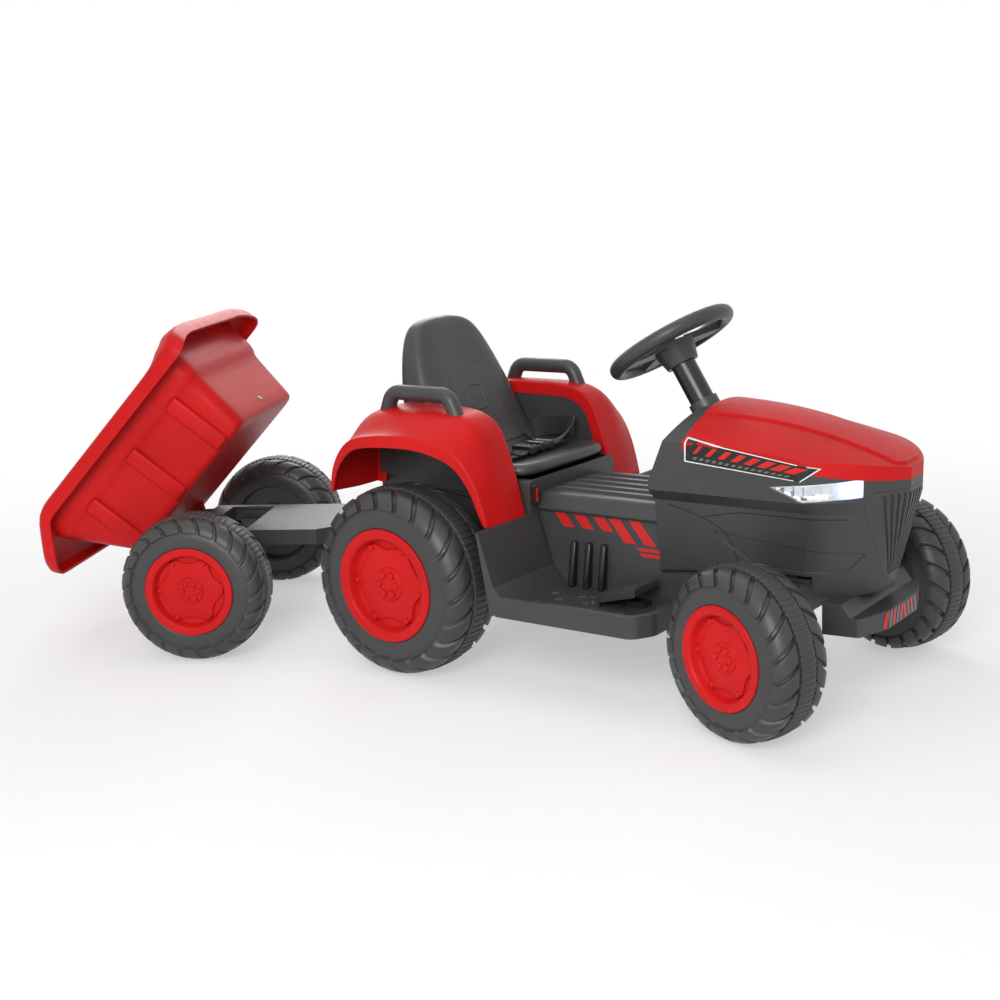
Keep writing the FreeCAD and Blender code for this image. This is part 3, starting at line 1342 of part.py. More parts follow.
# Hitch: a tongue bolted to the rear wall, with a pin that the drawbar's eye turns on
tongue_top = hitch_height + hitch_plate
half = tongue_width / 2
tongue = plan_slab([(hitch_x, -half), (box_rear, -tongue_width), (box_rear, tongue_width),
                    (hitch_x, half)], (hitch_height, tongue_top))
tongue = tongue.fuse(rod(half, Vector(hitch_x, 0, hitch_height), Vector(hitch_x, 0, tongue_top)))
tongue = tongue.fuse(block((box_rear - hitch_plate, box_rear), (-tongue_width, tongue_width),
                           (belly_height + wall, hitch_height + tongue_width)))
for y in (-half, half - wall):
    tongue = tongue.fuse(side_slab([(box_rear - hitch_plate, tongue_top - wall),
                                    (box_rear - hitch_plate, hitch_height + tongue_width * 0.9),
                                    (box_rear - tongue_width * 0.7, tongue_top - wall)],
                                   (y, y + wall)))
tongue = tongue.removeSplitter().cut(rod(hitch_pin_radius, Vector(hitch_x, 0, 0),
                                         Vector(hitch_x, 0, tongue_top + overrun)))
add("tow_tongue", tongue)
eye_low = tongue_top + side_gap
eye_high = frame_top
pin_head = eye_high + side_gap
hitch_pin = rod(hitch_pin_radius, Vector(hitch_x, 0, hitch_height - wall),
                Vector(hitch_x, 0, pin_head + wall))
hitch_pin = hitch_pin.fuse(rod(hitch_pin_radius * 1.8, Vector(hitch_x, 0, pin_head),
                               Vector(hitch_x, 0, pin_head + wall)))
add("hitch_pin", hitch_pin)

# Trailer frame, made about its own axle with the drawbar forwards
trailer_turn = Rotation(Z_AXIS, hitch_angle)
trailer_at = Vector(hitch_x, 0, 0) - trailer_turn.multVec(X_AXIS * drawbar_length)


def hitched(shape):
    """Put a trailer piece behind the tractor at the hitch angle."""
    return moved(shape, trailer_at, Z_AXIS, hitch_angle)


def frame_plan(inset):
    """Plan of the frame: a straight back that narrows to the drawbar."""
    half = frame_half_width - inset
    nose_half = hitch_eye_radius - inset
    return [(frame_rear + inset, -half), (frame_front - inset, -half),
            (drawbar_length - hitch_eye_radius, -nose_half),
            (drawbar_length - hitch_eye_radius, nose_half), (frame_front - inset, half),
            (frame_rear + inset, half)]


frame = plan_slab(frame_plan(0), (frame_low, frame_top))
frame = frame.cut(plan_slab(frame_plan(frame_wall), (frame_low - overrun, frame_top - frame_wall)))
eye_at = Vector(drawbar_length, 0, eye_low)
eye = rod(hitch_eye_radius, eye_at, Vector(drawbar_length, 0, eye_high))
eye = eye.fuse(block((drawbar_length - hitch_eye_radius * 3, drawbar_length),
                     (-hitch_eye_radius, hitch_eye_radius), (eye_low, eye_high)))
clear_x = drawbar_length - (tongue_width + hitch_eye_radius)
frame = frame.cut(block((clear_x, drawbar_length), (-frame_half_width, frame_half_width),
                        (frame_low - overrun, eye_low)))
frame = frame.fuse(eye).removeSplitter()
frame = frame.cut(rod(hitch_pin_radius + running_gap, Vector(drawbar_length, 0, 0),
                      Vector(drawbar_length, 0, eye_high + overrun)))
window = plan_slab([(frame_window_rear, frame_wall * 3 - frame_half_width),
                    (frame_window_front, frame_wall * 3 - frame_half_width),
                    (frame_window_front, frame_half_width - frame_wall * 3),
                    (frame_window_rear, frame_half_width - frame_wall * 3)],
                   (frame_low, frame_top + overrun), frame_wall)
frame = frame.cut(window)
for x in (frame_window_rear - frame_wall, frame_window_front):
    frame = frame.fuse(block((x, x + frame_wall), (-frame_half_width, frame_half_width),
                             (frame_low, frame_top - frame_wall)))
for side in (-1, 1):
    y = side * (frame_half_width - frame_wall * 2)
    hanger = side_slab([(-frame_wall * 6, frame_low + frame_wall), (frame_wall * 6, frame_low + frame_wall),
                        (frame_wall * 3, small_radius - frame_wall * 3),
                        (-frame_wall * 3, small_radius - frame_wall * 3)],
                       (y - frame_wall * 2, y + frame_wall * 2), [0, 0, frame_wall, frame_wall])
    frame = frame.fuse(hanger)
    ear_y = side * pivot_ear_spread
    ear = side_slab([(pivot_s, pivot_z - pivot_ear), (frame_rear + frame_wall, frame_low),
                     (frame_rear + frame_wall, frame_top), (pivot_s, pivot_z + pivot_ear)],
                    (ear_y - pivot_ear_width / 2, ear_y + pivot_ear_width / 2))
    ear = ear.fuse(rod(pivot_ear, Vector(pivot_s, ear_y - pivot_ear_width / 2, pivot_z),
                       Vector(pivot_s, ear_y + pivot_ear_width / 2, pivot_z)))
    frame = frame.fuse(ear)
pivot_half = pivot_ear_spread + pivot_ear_width * 2
pivot_ends = [Vector(pivot_s, -pivot_half, pivot_z), Vector(pivot_s, pivot_half, pivot_z)]
frame = frame.removeSplitter()
frame = frame.cut(rod(pivot_radius, pivot_ends[0], pivot_ends[1]))
frame = frame.cut(rod(axle_radius, Vector(0, -frame_half_width * 2, small_radius),
                      Vector(0, frame_half_width * 2, small_radius)))
add("trailer_frame", hitched(frame))
add("bed_pin", hitched(rod(pivot_radius, pivot_ends[0], pivot_ends[1])))
trailer_face = trailer_track / 2
trailer_nut = trailer_face - hub_pocket + side_gap
trailer_end = trailer_nut + nut_height + axle_radius / 2
trailer_nuts = [hex_nut(Vector(0, side * trailer_nut, small_radius), Y_AXIS * side) for side in (1, -1)]
trailer_axle = rod(axle_radius, Vector(0, -trailer_end, small_radius),
                   Vector(0, trailer_end, small_radius))
add("trailer_axle", hitched(trailer_axle.fuse(trailer_nuts)))
for left, label in ((True, "left"), (False, "right")):
    centre = Vector(0, trailer_face if left else -trailer_face, small_radius)
    add("trailer_tyre_" + label, hitched(place_wheel(small_tyre, centre, 0, left)))
    add("trailer_hub_cap_" + label, hitched(place_wheel(small_cap, centre, 0, left)))

# Tipping bed, made level about its hinge: X along the floor, Z square to it
bed_floor = frame_top + seam_gap - pivot_z
bed_front = bed_length - bed_overhang


def bed_rect(level, half, front, rear):
    """Rounded plan of the bed at one level."""
    return rounded([Vector(rear, -half, level), Vector(front, -half, level),
                    Vector(front, half, level), Vector(rear, half, level)], bed_corner)


def bed_solid(inset):
    """The bed as a full form: tapered walls that break outwards at a crease."""
    crease = bed_floor + bed_crease
    top = bed_floor + bed_rim + bed_head_rise * 2
    crease_rear = -bed_overhang - bed_crease * bed_slope_share
    top_rear = -bed_overhang - (top - bed_floor) * bed_slope_share
    lift = max(inset, 0)
    wires = [bed_rect(bed_floor + lift, bed_half_width - inset, bed_front - inset, inset - bed_overhang),
             bed_rect(crease, bed_crease_half_width - inset, bed_front + bed_corner - inset,
                      crease_rear + inset),
             bed_rect(top, bed_rim_half_width + bed_wall - inset, bed_front + bed_corner * 1.8 - inset,
                      top_rear + inset)]
    return Part.makeLoft(wires, True, True)


rim_z = bed_floor + bed_rim
tail_x = -bed_overhang - bed_tail
tail_z = rim_z - bed_tail_drop
bend_x = tail_x + bed_tail_drop
rim_half = bed_rim_half_width + bed_flange
head_front = bed_front + bed_corner + bed_head_reach
far = bed_length * 2


def rim_band(depth, half, grow=0.0):
    """Plate that follows the side rim, depth thick, across the bed."""
    outline = [(tail_x - grow, tail_z - grow), (bend_x, rim_z), (head_front - bed_corner, rim_z),
               (head_front - bed_corner, rim_z - depth), (bend_x + depth * 0.41, rim_z - depth),
               (tail_x - grow + depth * 0.71, tail_z - grow - depth * 0.71)]
    return side_slab(outline, (-half, half))


above_rim = side_slab([(-far, tail_z - (tail_x + far)), (bend_x, rim_z),
                       (bed_front - bed_corner, rim_z),
                       (bed_front, rim_z + bed_head_rise), (far, rim_z + bed_head_rise), (far, far),
                       (-far, far)], (-far, far))
bed = bed_solid(0).cut(above_rim)
room = bed_solid(bed_wall)
flange = rim_band(bed_wall, rim_half)
lips = rim_band(bed_lip, rim_half).cut(rim_band(bed_lip * 2, rim_half - bed_wall))
tail_lip = side_slab([(tail_x, tail_z), (tail_x + bed_wall * 0.71, tail_z + bed_wall * 0.71),
                      (tail_x + (bed_lip + bed_wall) * 0.71, tail_z + (bed_wall - bed_lip) * 0.71),
                      (tail_x + bed_lip * 0.71, tail_z - bed_lip * 0.71)], (-rim_half, rim_half))
head_z = rim_z + bed_head_rise
head_outline = [(-rim_half, rim_z - bed_wall), (-rim_half, rim_z), (-bed_head_half_width, head_z),
                (bed_head_half_width, head_z), (rim_half, rim_z), (rim_half, rim_z - bed_wall),
                (bed_head_half_width, head_z - bed_wall), (-bed_head_half_width, head_z - bed_wall)]
head = front_slab(head_outline, (bed_front - bed_wall, head_front))
head_lip = front_slab([(-rim_half, rim_z - bed_lip), (-rim_half, rim_z), (-bed_head_half_width, head_z),
                       (bed_head_half_width, head_z), (rim_half, rim_z), (rim_half, rim_z - bed_lip),
                       (bed_head_half_width, head_z - bed_lip), (-bed_head_half_width, head_z - bed_lip)],
                      (head_front - bed_wall, head_front))
bed = bed.fuse([flange, lips, tail_lip, head, head_lip]).removeSplitter()
bed = bed.cut(room)
rib_block = [block((x - bed_rib_width / 2, x + bed_rib_width / 2), (-rim_half, rim_half),
                   (bed_floor + bed_corner, bed_floor + bed_crease))
             for x in (bed_front - bed_length * 0.16, bed_front - bed_length * 0.54,
                       bed_front - bed_length * 0.92)]
rib_skin = bed_solid(-bed_rib_depth).cut(bed_solid(bed_wall / 2))
bed = bed.fuse([rib.common(rib_skin) for rib in rib_block])
lug_gap_y = pivot_ear_spread + pivot_ear_width / 2 + side_gap
for side in (-1, 1):
    y = (lug_gap_y, lug_gap_y + pivot_ear_width)
    lug = side_slab([(-pivot_ear, 0), (pivot_ear, 0), (pivot_ear * 2, bed_floor + bed_wall / 2),
                     (-pivot_ear * 2, bed_floor + bed_wall / 2)], y)
    lug = lug.fuse(rod(pivot_ear, Vector(0, y[0], 0), Vector(0, y[1], 0)))
    bed = bed.fuse(lug if side > 0 else mirrored(lug))
bed = bed.cut(rod(pivot_radius + running_gap, Vector(0, -pivot_half - overrun, 0),
                  Vector(0, pivot_half + overrun, 0)))
bed = bed.cut(block((bed_front - bed_wall * 2, bed_front + bed_wall * 2),
                    (-bed_slot_width / 2, bed_slot_width / 2),
                    (bed_floor + bed_lip, bed_floor + bed_lip + bed_slot_height)))
bed = bed.removeSplitter()
add("tipping_bed", hitched(moved(bed, Vector(pivot_s, 0, pivot_z), Y_AXIS, -tip_angle)))

# Stand the whole model on the ground, centred under its own bounding box
whole = FreeCAD.BoundBox()
for shape in pieces.values():
    whole.add(shape.optimalBoundingBox(False, False))
shift = Vector(-whole.Center.x, -whole.Center.y, -whole.ZMin)
os.makedirs("parts", exist_ok=True)
for name, shape in pieces.items():
    placed = moved(shape, shift)
    placed.exportStep("parts/" + name + ".step")
print(len(pieces), "pieces, size", [round(v, 1) for v in (whole.XLength, whole.YLength, whole.ZLength)],
      "shift", [round(v, 2) for v in shift])
for name, shape in pieces.items():
    if not shape.isValid() or len(shape.Solids) < 1:
        print("check", name, shape.isValid(), len(shape.Solids))
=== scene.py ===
# %% [markdown]
# # A ride-on toy tractor with a tipping trailer
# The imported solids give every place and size. This lesson dresses them: it makes the moulded plastics,
# models the pieces whose surface is richer than a plain solid, and sets the studio.

# %% Load the frame
import json
import math

import bpy
from mathutils import Matrix, Vector


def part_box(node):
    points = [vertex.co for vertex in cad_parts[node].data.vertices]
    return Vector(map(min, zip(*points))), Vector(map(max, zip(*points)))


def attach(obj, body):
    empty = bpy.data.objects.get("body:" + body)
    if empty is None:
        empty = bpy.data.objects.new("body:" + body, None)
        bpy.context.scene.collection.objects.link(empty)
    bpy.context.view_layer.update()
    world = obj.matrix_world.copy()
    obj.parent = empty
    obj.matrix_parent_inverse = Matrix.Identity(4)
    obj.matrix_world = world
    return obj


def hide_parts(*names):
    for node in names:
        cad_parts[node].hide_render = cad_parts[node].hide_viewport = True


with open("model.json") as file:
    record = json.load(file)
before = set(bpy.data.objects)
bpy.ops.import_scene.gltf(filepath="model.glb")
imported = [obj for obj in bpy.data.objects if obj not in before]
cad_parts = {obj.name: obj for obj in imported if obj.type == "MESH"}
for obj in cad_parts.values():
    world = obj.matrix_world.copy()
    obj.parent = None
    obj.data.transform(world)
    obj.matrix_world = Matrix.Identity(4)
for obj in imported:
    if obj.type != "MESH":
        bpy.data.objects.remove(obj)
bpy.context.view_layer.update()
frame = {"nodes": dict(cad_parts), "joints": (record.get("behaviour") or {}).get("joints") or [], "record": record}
MM = 0.001
nodes = frame["nodes"]
joints = {joint["name"]: joint for joint in frame["joints"]}
print("solids loaded:", len(nodes))

# %% [markdown]
# ## Helpers for modelling by hand
# Every operator acts on what is selected, so each helper first clears the selection. A finished piece
# keeps its place in its mesh, and its object stays at the origin.

# %% Small modelling helpers


def only(piece):
    """Select one object and make it active."""
    bpy.ops.object.select_all(action="DESELECT")
    piece.select_set(True)
    bpy.context.view_layer.objects.active = piece
    return piece


def start(name, points, edges=(), faces=()):
    """A new mesh object from a few points."""
    mesh = bpy.data.meshes.new(name)
    mesh.from_pydata([tuple(p) for p in points], list(edges), list(faces))
    piece = bpy.data.objects.new(name, mesh)
    bpy.context.scene.collection.objects.link(piece)
    return only(piece)


def chain(name, points):
    """An open line of points, ready to be spun or extruded."""
    return start(name, points, [(i, i + 1) for i in range(len(points) - 1)])


def outline(name, points):
    """One flat face from its corners."""
    return start(name, points, faces=[tuple(range(len(points)))])


def skin_faces(rows, row, closed=False):
    """Quads between neighbouring rows of points. A closed row runs back to its first point."""
    wide = row if closed else row - 1
    return [(i * row + j, i * row + (j + 1) % row, (i + 1) * row + (j + 1) % row, (i + 1) * row + j)
            for i in range(rows - 1) for j in range(wide)]


def edit(*calls, everything=True):
    """Run operators in edit mode, on everything of the active piece or on what is picked."""
    bpy.ops.object.mode_set(mode="EDIT")
    if everything:
        bpy.ops.mesh.select_all(action="SELECT")
    for call in calls:
        call()
    bpy.ops.object.mode_set(mode="OBJECT")


def mend():
    """Merge doubles and turn the faces outwards."""
    bpy.ops.mesh.select_all(action="SELECT")
    bpy.ops.mesh.remove_doubles(threshold=0.01 * MM)
    bpy.ops.mesh.normals_make_consistent(inside=False)


def pick(piece, wanted):
    """Select the faces whose centre and normal pass a test."""
    for part in (piece.data.vertices, piece.data.edges):
        part.foreach_set("select", [False] * len(part))
    for face in piece.data.polygons:
        face.select = wanted(face.center, face.normal)


# %% Helpers that finish a piece


def modify(piece, kind, **settings):
    """Add a modifier and apply it."""
    only(piece)
    modifier = piece.modifiers.new(kind.title(), kind)
    for name, value in settings.items():
        setattr(modifier, name, value)
    bpy.ops.object.modifier_apply(modifier=modifier.name)


def soften(piece, width, segments=2, angle=35):
    """Round the sharp edges as a mould does."""
    modify(piece, "BEVEL", width=width, segments=segments, limit_method="ANGLE",
           angle_limit=math.radians(angle), harden_normals=False)


def smooth(piece, angle=35):
    """Shade smoothly, except over sharp edges."""
    only(piece)
    bpy.ops.object.shade_smooth_by_angle(angle=math.radians(angle))


def joined(name, parts):
    """Join objects to one piece."""
    bpy.ops.object.select_all(action="DESELECT")
    for part in parts:
        part.select_set(True)
    bpy.context.view_layer.objects.active = parts[0]
    bpy.ops.object.join()
    parts[0].name = name
    return parts[0]


def placed_copy(piece, name, matrix):
    """A copy with its own mesh, moved inside that mesh."""
    twin = bpy.data.objects.new(name, piece.data.copy())
    bpy.context.scene.collection.objects.link(twin)
    twin.data.transform(matrix)
    return twin


def moved(piece, name, matrix):
    """The piece itself under its final name, moved inside its mesh."""
    piece.data.transform(matrix)
    piece.name = name
    return piece


def discard(piece):
    """Delete a pattern piece after its copies are made."""
    bpy.data.objects.remove(piece)


def clamp(value):
    """A value held between 0 and 1."""
    return max(0.0, min(1.0, value))


def settle(piece, body, slot, material, *replaced):
    """Give a piece its finish, its body and the solids that it stands for."""
    piece.data.materials.clear()
    piece.data.materials.append(material)
    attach(piece, body)
    if replaced:
        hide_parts(*replaced)
    print(piece.name, "faces:", len(piece.data.polygons))
    return piece


# %% [markdown]
# ## Shader arithmetic
# A wrapped socket lets a finish be written as a sum or a product. Any other node comes from `add`, which
# takes the node's settings first and then the values or links of its sockets.

# %% A socket that takes part in arithmetic


class Shade:
    """A node socket with Python operators."""

    def __init__(self, tree, socket=None):
        self.tree = tree
        self.socket = socket

    def add(self, kind, settings=None, sockets=None, out=0):
        node = self.tree.nodes.new("ShaderNode" + kind)
        for name, value in (settings or {}).items():
            if name == "stops":
                ramp = node.color_ramp
                for element, (at, grey) in zip(ramp.elements, value):
                    element.position = at
                    element.color = (grey, grey, grey, 1)
            else:
                setattr(node, name, value)
        for key, value in (sockets or {}).items():
            if isinstance(value, Shade):
                self.tree.links.new(value.socket, node.inputs[key])
            else:
                node.inputs[key].default_value = value
        return Shade(self.tree, node.outputs[out])

    def math(self, operation, first, second=0.0):
        return self.add("Math", {"operation": operation}, {0: first, 1: second})

    def __add__(self, other):
        return self.math("ADD", self, other)

    __radd__ = __add__

    def __sub__(self, other):
        return self.math("SUBTRACT", self, other)

    def __rsub__(self, other):
        return self.math("SUBTRACT", other, self)

    def __mul__(self, other):
        return self.math("MULTIPLY", self, other)

    __rmul__ = __mul__

    def out(self, name):
        """Another output of the same node."""
        return Shade(self.tree, self.socket.node.outputs[name])

    def tint(self, low, high):
        """A colour between two, by this value."""
        return self.add("Mix", {"data_type": "RGBA"}, {0: self, 6: low, 7: high}, out=2)

    def ramp(self, low, high):
        """This value stretched from low..high to 0..1."""
        return self.add("ValToRGB", {"stops": ((low, 0), (high, 1))}, {0: self})

    def scaled(self, scale):
        """This vector stretched along its axes."""
        return self.add("Mapping", None, {"Vector": self, "Scale": scale})

    def noise(self, scale, detail):
        """Noise over this vector."""
        return self.add("TexNoise", None, {"Vector": self, "Scale": scale, "Detail": detail})

    def bump(self, strength, depth, **sockets):
        """A normal from this height, with its depth in millimetres."""
        values = {"Strength": strength, "Distance": depth * MM, "Height": self}
        return self.add("Bump", None, {**values, **sockets})


def finish_start(name):
    """A new material, its shader node, and a wrapped socket of Object coordinates."""
    material = bpy.data.materials.new(name)
    material.use_nodes = True
    tree = material.node_tree
    shader = tree.nodes["Principled BSDF"]
    where = Shade(tree).add("TexCoord", out=3)
    return material, tree, shader, where


def feed(tree, shader, **links):
    """Link wrapped sockets to the shader, or set constants."""
    for name, value in links.items():
        target = shader.inputs[name.replace("_", " ")]
        if isinstance(value, Shade):
            tree.links.new(value.socket, target)
        else:
            target.default_value = value


# %% [markdown]
# ## Moulded plastics
# The toy is blow-moulded and injection-moulded plastic. It has a faint grain, a gloss that drifts over
# a panel, fine rubs and edges that are a little paler and rounder than a sharp solid. A flat colour would
# look drawn, so a noise at each of those scales feeds colour, roughness and bump, and a bevelled normal
# rounds the edges without a change to the mesh.

# %% Plastic finishes


def plastic(name, colour, rough, grain, edge=1.2, level=0.35):
    """A moulded plastic: colour drift, gloss drift, rubs, grain and soft edges."""
    material, tree, shader, where = finish_start(name)
    cloud = where.noise(70.0, 4.0)
    rub = where.scaled((40.0, 700.0, 260.0)).noise(1.0, 2.0).ramp(0.66, 0.78)
    rounded_edge = where.add("Bevel", {"samples": 4}, {"Radius": edge * MM})
    flat = where.add("NewGeometry", out=1)
    facing = where.add("VectorMath", {"operation": "DOT_PRODUCT"}, {0: rounded_edge, 1: flat}, out=1)
    worn = (1.0 - facing).ramp(0.01, 0.20) * cloud.ramp(0.42, 0.60)
    deep = [c * 0.90 for c in colour] + [1]
    pale = [min(1.0, c * 1.08 + 0.002) for c in colour] + [1]
    scuffed = [min(1.0, c * 1.25 + 0.012) for c in colour] + [1]
    base = where.noise(9.0, 3.0).ramp(0.3, 0.7).tint(deep, pale)
    base = (worn * 0.6 + rub * 0.10).tint(base, scuffed)
    normal = where.noise(1400.0, 2.0).bump(grain, 0.4, Normal=rounded_edge)
    feed(tree, shader, Base_Color=base, Roughness=rough + (cloud - 0.5) * 0.16 + rub * 0.08, Normal=normal)
    feed(tree, shader, Specular_IOR_Level=level)
    return material


red = plastic("moulded_red", (0.520, 0.0080, 0.0090), 0.40, grain=0.03, level=0.14)
dark = plastic("moulded_dark_grey", (0.040, 0.0405, 0.0415), 0.40, grain=0.10, level=0.40)
black = plastic("gloss_black", (0.012, 0.012, 0.013), 0.26, grain=0.03, level=0.42)
tyre_finish = plastic("tyre_dark_grey", (0.038, 0.0385, 0.0395), 0.42, grain=0.14, edge=0.9, level=0.42)
casing = plastic("battery_grey", (0.05, 0.05, 0.055), 0.55, grain=0.10)


def metal(name, colour, rough, streak):
    """A plated metal with fine turning marks."""
    material, tree, shader, where = finish_start(name)
    lines = where.scaled((60.0, 1500.0, 60.0)).noise(1.0, 3.0)
    dull = [c * 0.85 for c in colour] + [1]
    base = where.noise(45.0, 4.0).ramp(0.3, 0.7).tint(dull, list(colour) + [1])
    feed(tree, shader, Base_Color=base, Roughness=rough + (lines - 0.5) * 0.2)
    feed(tree, shader, Normal=lines.bump(streak, 0.2), Metallic=1.0)
    return material


steel = metal("plated_steel", (0.62, 0.62, 0.61), 0.34, 0.2)
motor_steel = metal("motor_case", (0.55, 0.55, 0.56), 0.38, 0.1)
mirror = metal("lamp_mirror", (0.86, 0.88, 0.92), 0.14, 0.05)
print("plastics and metals:", red.name, dark.name, black.name, tyre_finish.name, steel.name)

# %% [markdown]
# ## Lamp light and lens
# The lamp burns with a cold blue-white light, and its clear lens glows around it. Light scattered in the
# plastic could be traced, which is slow, so the distance from each light drives the lens's own glow and
# cover instead.

# %% Glow and lens finishes
LED_INSET = 6 * MM
HALO_REACH, HALO_CORE = 34 * MM, 9 * MM
led_low, led_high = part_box("headlamp_leds")
led_middle = (led_low + led_high) / 2
led_spots = [(led_middle.x, y, led_middle.z) for y in (led_low.y + LED_INSET, led_high.y - LED_INSET)]


def glow_finish():
    """A bright light with small sparks."""
    material, tree, shader, where = finish_start("lamp_glow")
    spark = where.add("TexVoronoi", None, {"Vector": where, "Scale": 260.0})
    blue = spark.ramp(0.0, 0.9).tint((0.92, 0.95, 1.0, 1), (0.35, 0.45, 1.0, 1))
    feed(tree, shader, Base_Color=(0.8, 0.86, 1.0, 1), Roughness=0.2)
    feed(tree, shader, Emission_Color=blue, Emission_Strength=2.4)
    return material


def halo_round(where, spot):
    """1 at a light, fading to 0 away from it."""
    away = where.add("VectorMath", {"operation": "DISTANCE"}, {0: where, 1: spot}, out=1)
    return where.add("MapRange", {"interpolation_type": "SMOOTHERSTEP"},
                     {0: away, 1: HALO_REACH, 2: HALO_CORE})


def lens_finish():
    """Clear plastic with a halo round each light."""
    material, tree, shader, where = finish_start("glowing_lens")
    ripple = where.noise(220.0, 1.0)
    halo = halo_round(where, led_spots[0]) + halo_round(where, led_spots[1])
    colour = halo.ramp(0.02, 0.6).tint((0.0, 0.0, 0.01, 1), (0.10, 0.20, 1.0, 1))
    colour = halo.ramp(0.70, 1.0).tint(colour, (0.95, 0.97, 1.0, 1))
    feed(tree, shader, Base_Color=(0.90, 0.94, 1.0, 1), Roughness=0.05 + ripple * 0.05)
    feed(tree, shader, Normal=ripple.bump(0.05, 0.4), Alpha=0.10 + halo * 0.75)
    feed(tree, shader, Emission_Color=colour, Emission_Strength=1.0, Coat_Weight=0.3)
    return material


glow = glow_finish()
lens = lens_finish()
print("lamp lights at:", [[round(v, 3) for v in spot] for spot in led_spots])

# %% [markdown]
# ## Webbing
# The lap belt is woven tape. Threads could be modelled, but they are finer than a pixel, so two crossed
# waves and a twill along the tape's own map make the ribs.

# %% Webbing finish


def webbing_finish():
    """Woven tape: ribs, a twill and loose fibres."""
    material, tree, shader, where = finish_start("woven_webbing")
    pair = where.add("SeparateXYZ", None, {0: where.add("UVMap", {"uv_map": "tape"})})
    length, across = pair.out(0), pair.out(1)
    rib = where.math("SINE", length * 2200.0) * where.math("SINE", across * 2600.0)
    twill = where.math("SINE", (length + across) * 1500.0)
    fuzz = where.noise(900.0, 3.0)
    weave = rib * 0.5 + twill * 0.35 + fuzz * 0.5
    base = weave.ramp(0.0, 0.9).tint((0.010, 0.010, 0.011, 1), (0.032, 0.032, 0.034, 1))
    feed(tree, shader, Base_Color=base, Roughness=0.72 + (fuzz - 0.5) * 0.2, Normal=weave.bump(0.5, 0.35))
    feed(tree, shader, Sheen_Weight=0.15, Specular_IOR_Level=0.25)
    return material


webbing = webbing_finish()
print("lamp and woven finishes:", lens.name, glow.name, webbing.name)

# %% [markdown]
# ## Finishes on the solids that stay
# A solid whose shape is right keeps its mesh. Its material slots take the new finishes by the slot that
# the record gives to it.

# %% Dress the solids
finish_of_slot = {
    "dark_plastic": dark, "red_plastic": red, "black_plastic": black, "tyre_plastic": tyre_finish,
    "steel": steel, "webbing": webbing, "lens": lens, "reflector": mirror, "led": glow,
    "motor_case": motor_steel, "battery_case": casing,
}
slot_of_node = {part["node"]: part["material_slot"] for part in frame["record"]["subparts"]}
for node_name, solid in nodes.items():
    finish = finish_of_slot[slot_of_node[node_name]]
    solid.data.materials.clear()
    solid.data.materials.append(finish)
print("dressed:", len(nodes))

# %% [markdown]
# ## Tyres
# The wheels are hollow plastic with a moulded tread: a smooth sidewall, slanted shoulder lugs, two grooves
# and a middle band of fine cross ribs. One pitch of the tread is spun from its profile, the lugs and
# ribs are pushed out, the pitch is slanted, and copies of it close the ring.

# %% Tyre, one pitch at a time
REAR_RADIUS = 135 * MM
LUGS, COLUMNS, LUG_COLUMNS = 22, 12, 9
LUG_SLANT = math.radians(13)
# Shares of the tyre's radius and width
SHOULDER_START, SHOULDER_END, SHOULDER_SIDE = 0.79, 0.945, 0.185
CROWN_START, CROWN_SIDE, RIB_RISE = 0.97, 0.15, 0.0105
SLANT_START, SLANT_SIDE = 0.7, 0.32


def tyre_profile(radius, width):
    """Radius and side position along the skin, from the outer bead over the crown to the inner bearing."""
    half = width / 2
    r = radius / REAR_RADIUS
    lug = 5.2 * MM * r
    rows = [(0.575, half - 13 * MM * r), (0.590, half - 3 * MM * r), (0.612, half - 0.3 * MM),
            (0.650, half), (0.720, half - 0.2 * MM), (0.775, half - 1.2 * MM * r),
            (0.800, half - 3.0 * MM * r), (0.850, half - 5.4 * MM * r), (0.895, half - 9.5 * MM * r),
            (0.925, half - 15.5 * MM * r), (0.938, half * 0.60), (0.940, half * 0.36),
            (0.916, half * 0.345), (0.916, half * 0.30), (0.984, half * 0.285), (0.989, half * 0.10)]
    skin = [(share * radius, y) for share, y in rows]
    skin += [(rr, -y) for rr, y in reversed(skin)]
    back = [(0.56 * radius, -half + 20 * MM * r), (0.30 * radius, -half + 24 * MM * r),
            (0.26 * radius, -half + 10 * MM * r), (0.13 * radius, -half + 9 * MM * r),
            (0.13 * radius, -half + 30 * MM * r)]
    front = [(0.13 * radius, half - 30 * MM * r), (0.56 * radius, half - 30 * MM * r)]
    return front + skin + back, lug


def spun(steps, angle=math.tau, copies=False):
    """Spin all of the active piece round the Y axis and mend the seams."""
    edit(lambda: bpy.ops.mesh.spin(steps=steps, angle=angle, dupli=copies,
                                   center=(0, 0, 0), axis=(0, 1, 0)), mend)


def push_out(piece, wanted, height):
    """Raise the faces that a test picks along their normals."""
    pick(piece, wanted)
    edit(lambda: bpy.ops.mesh.extrude_region_shrink_fatten(TRANSFORM_OT_shrink_fatten={"value": height}),
         everything=False)


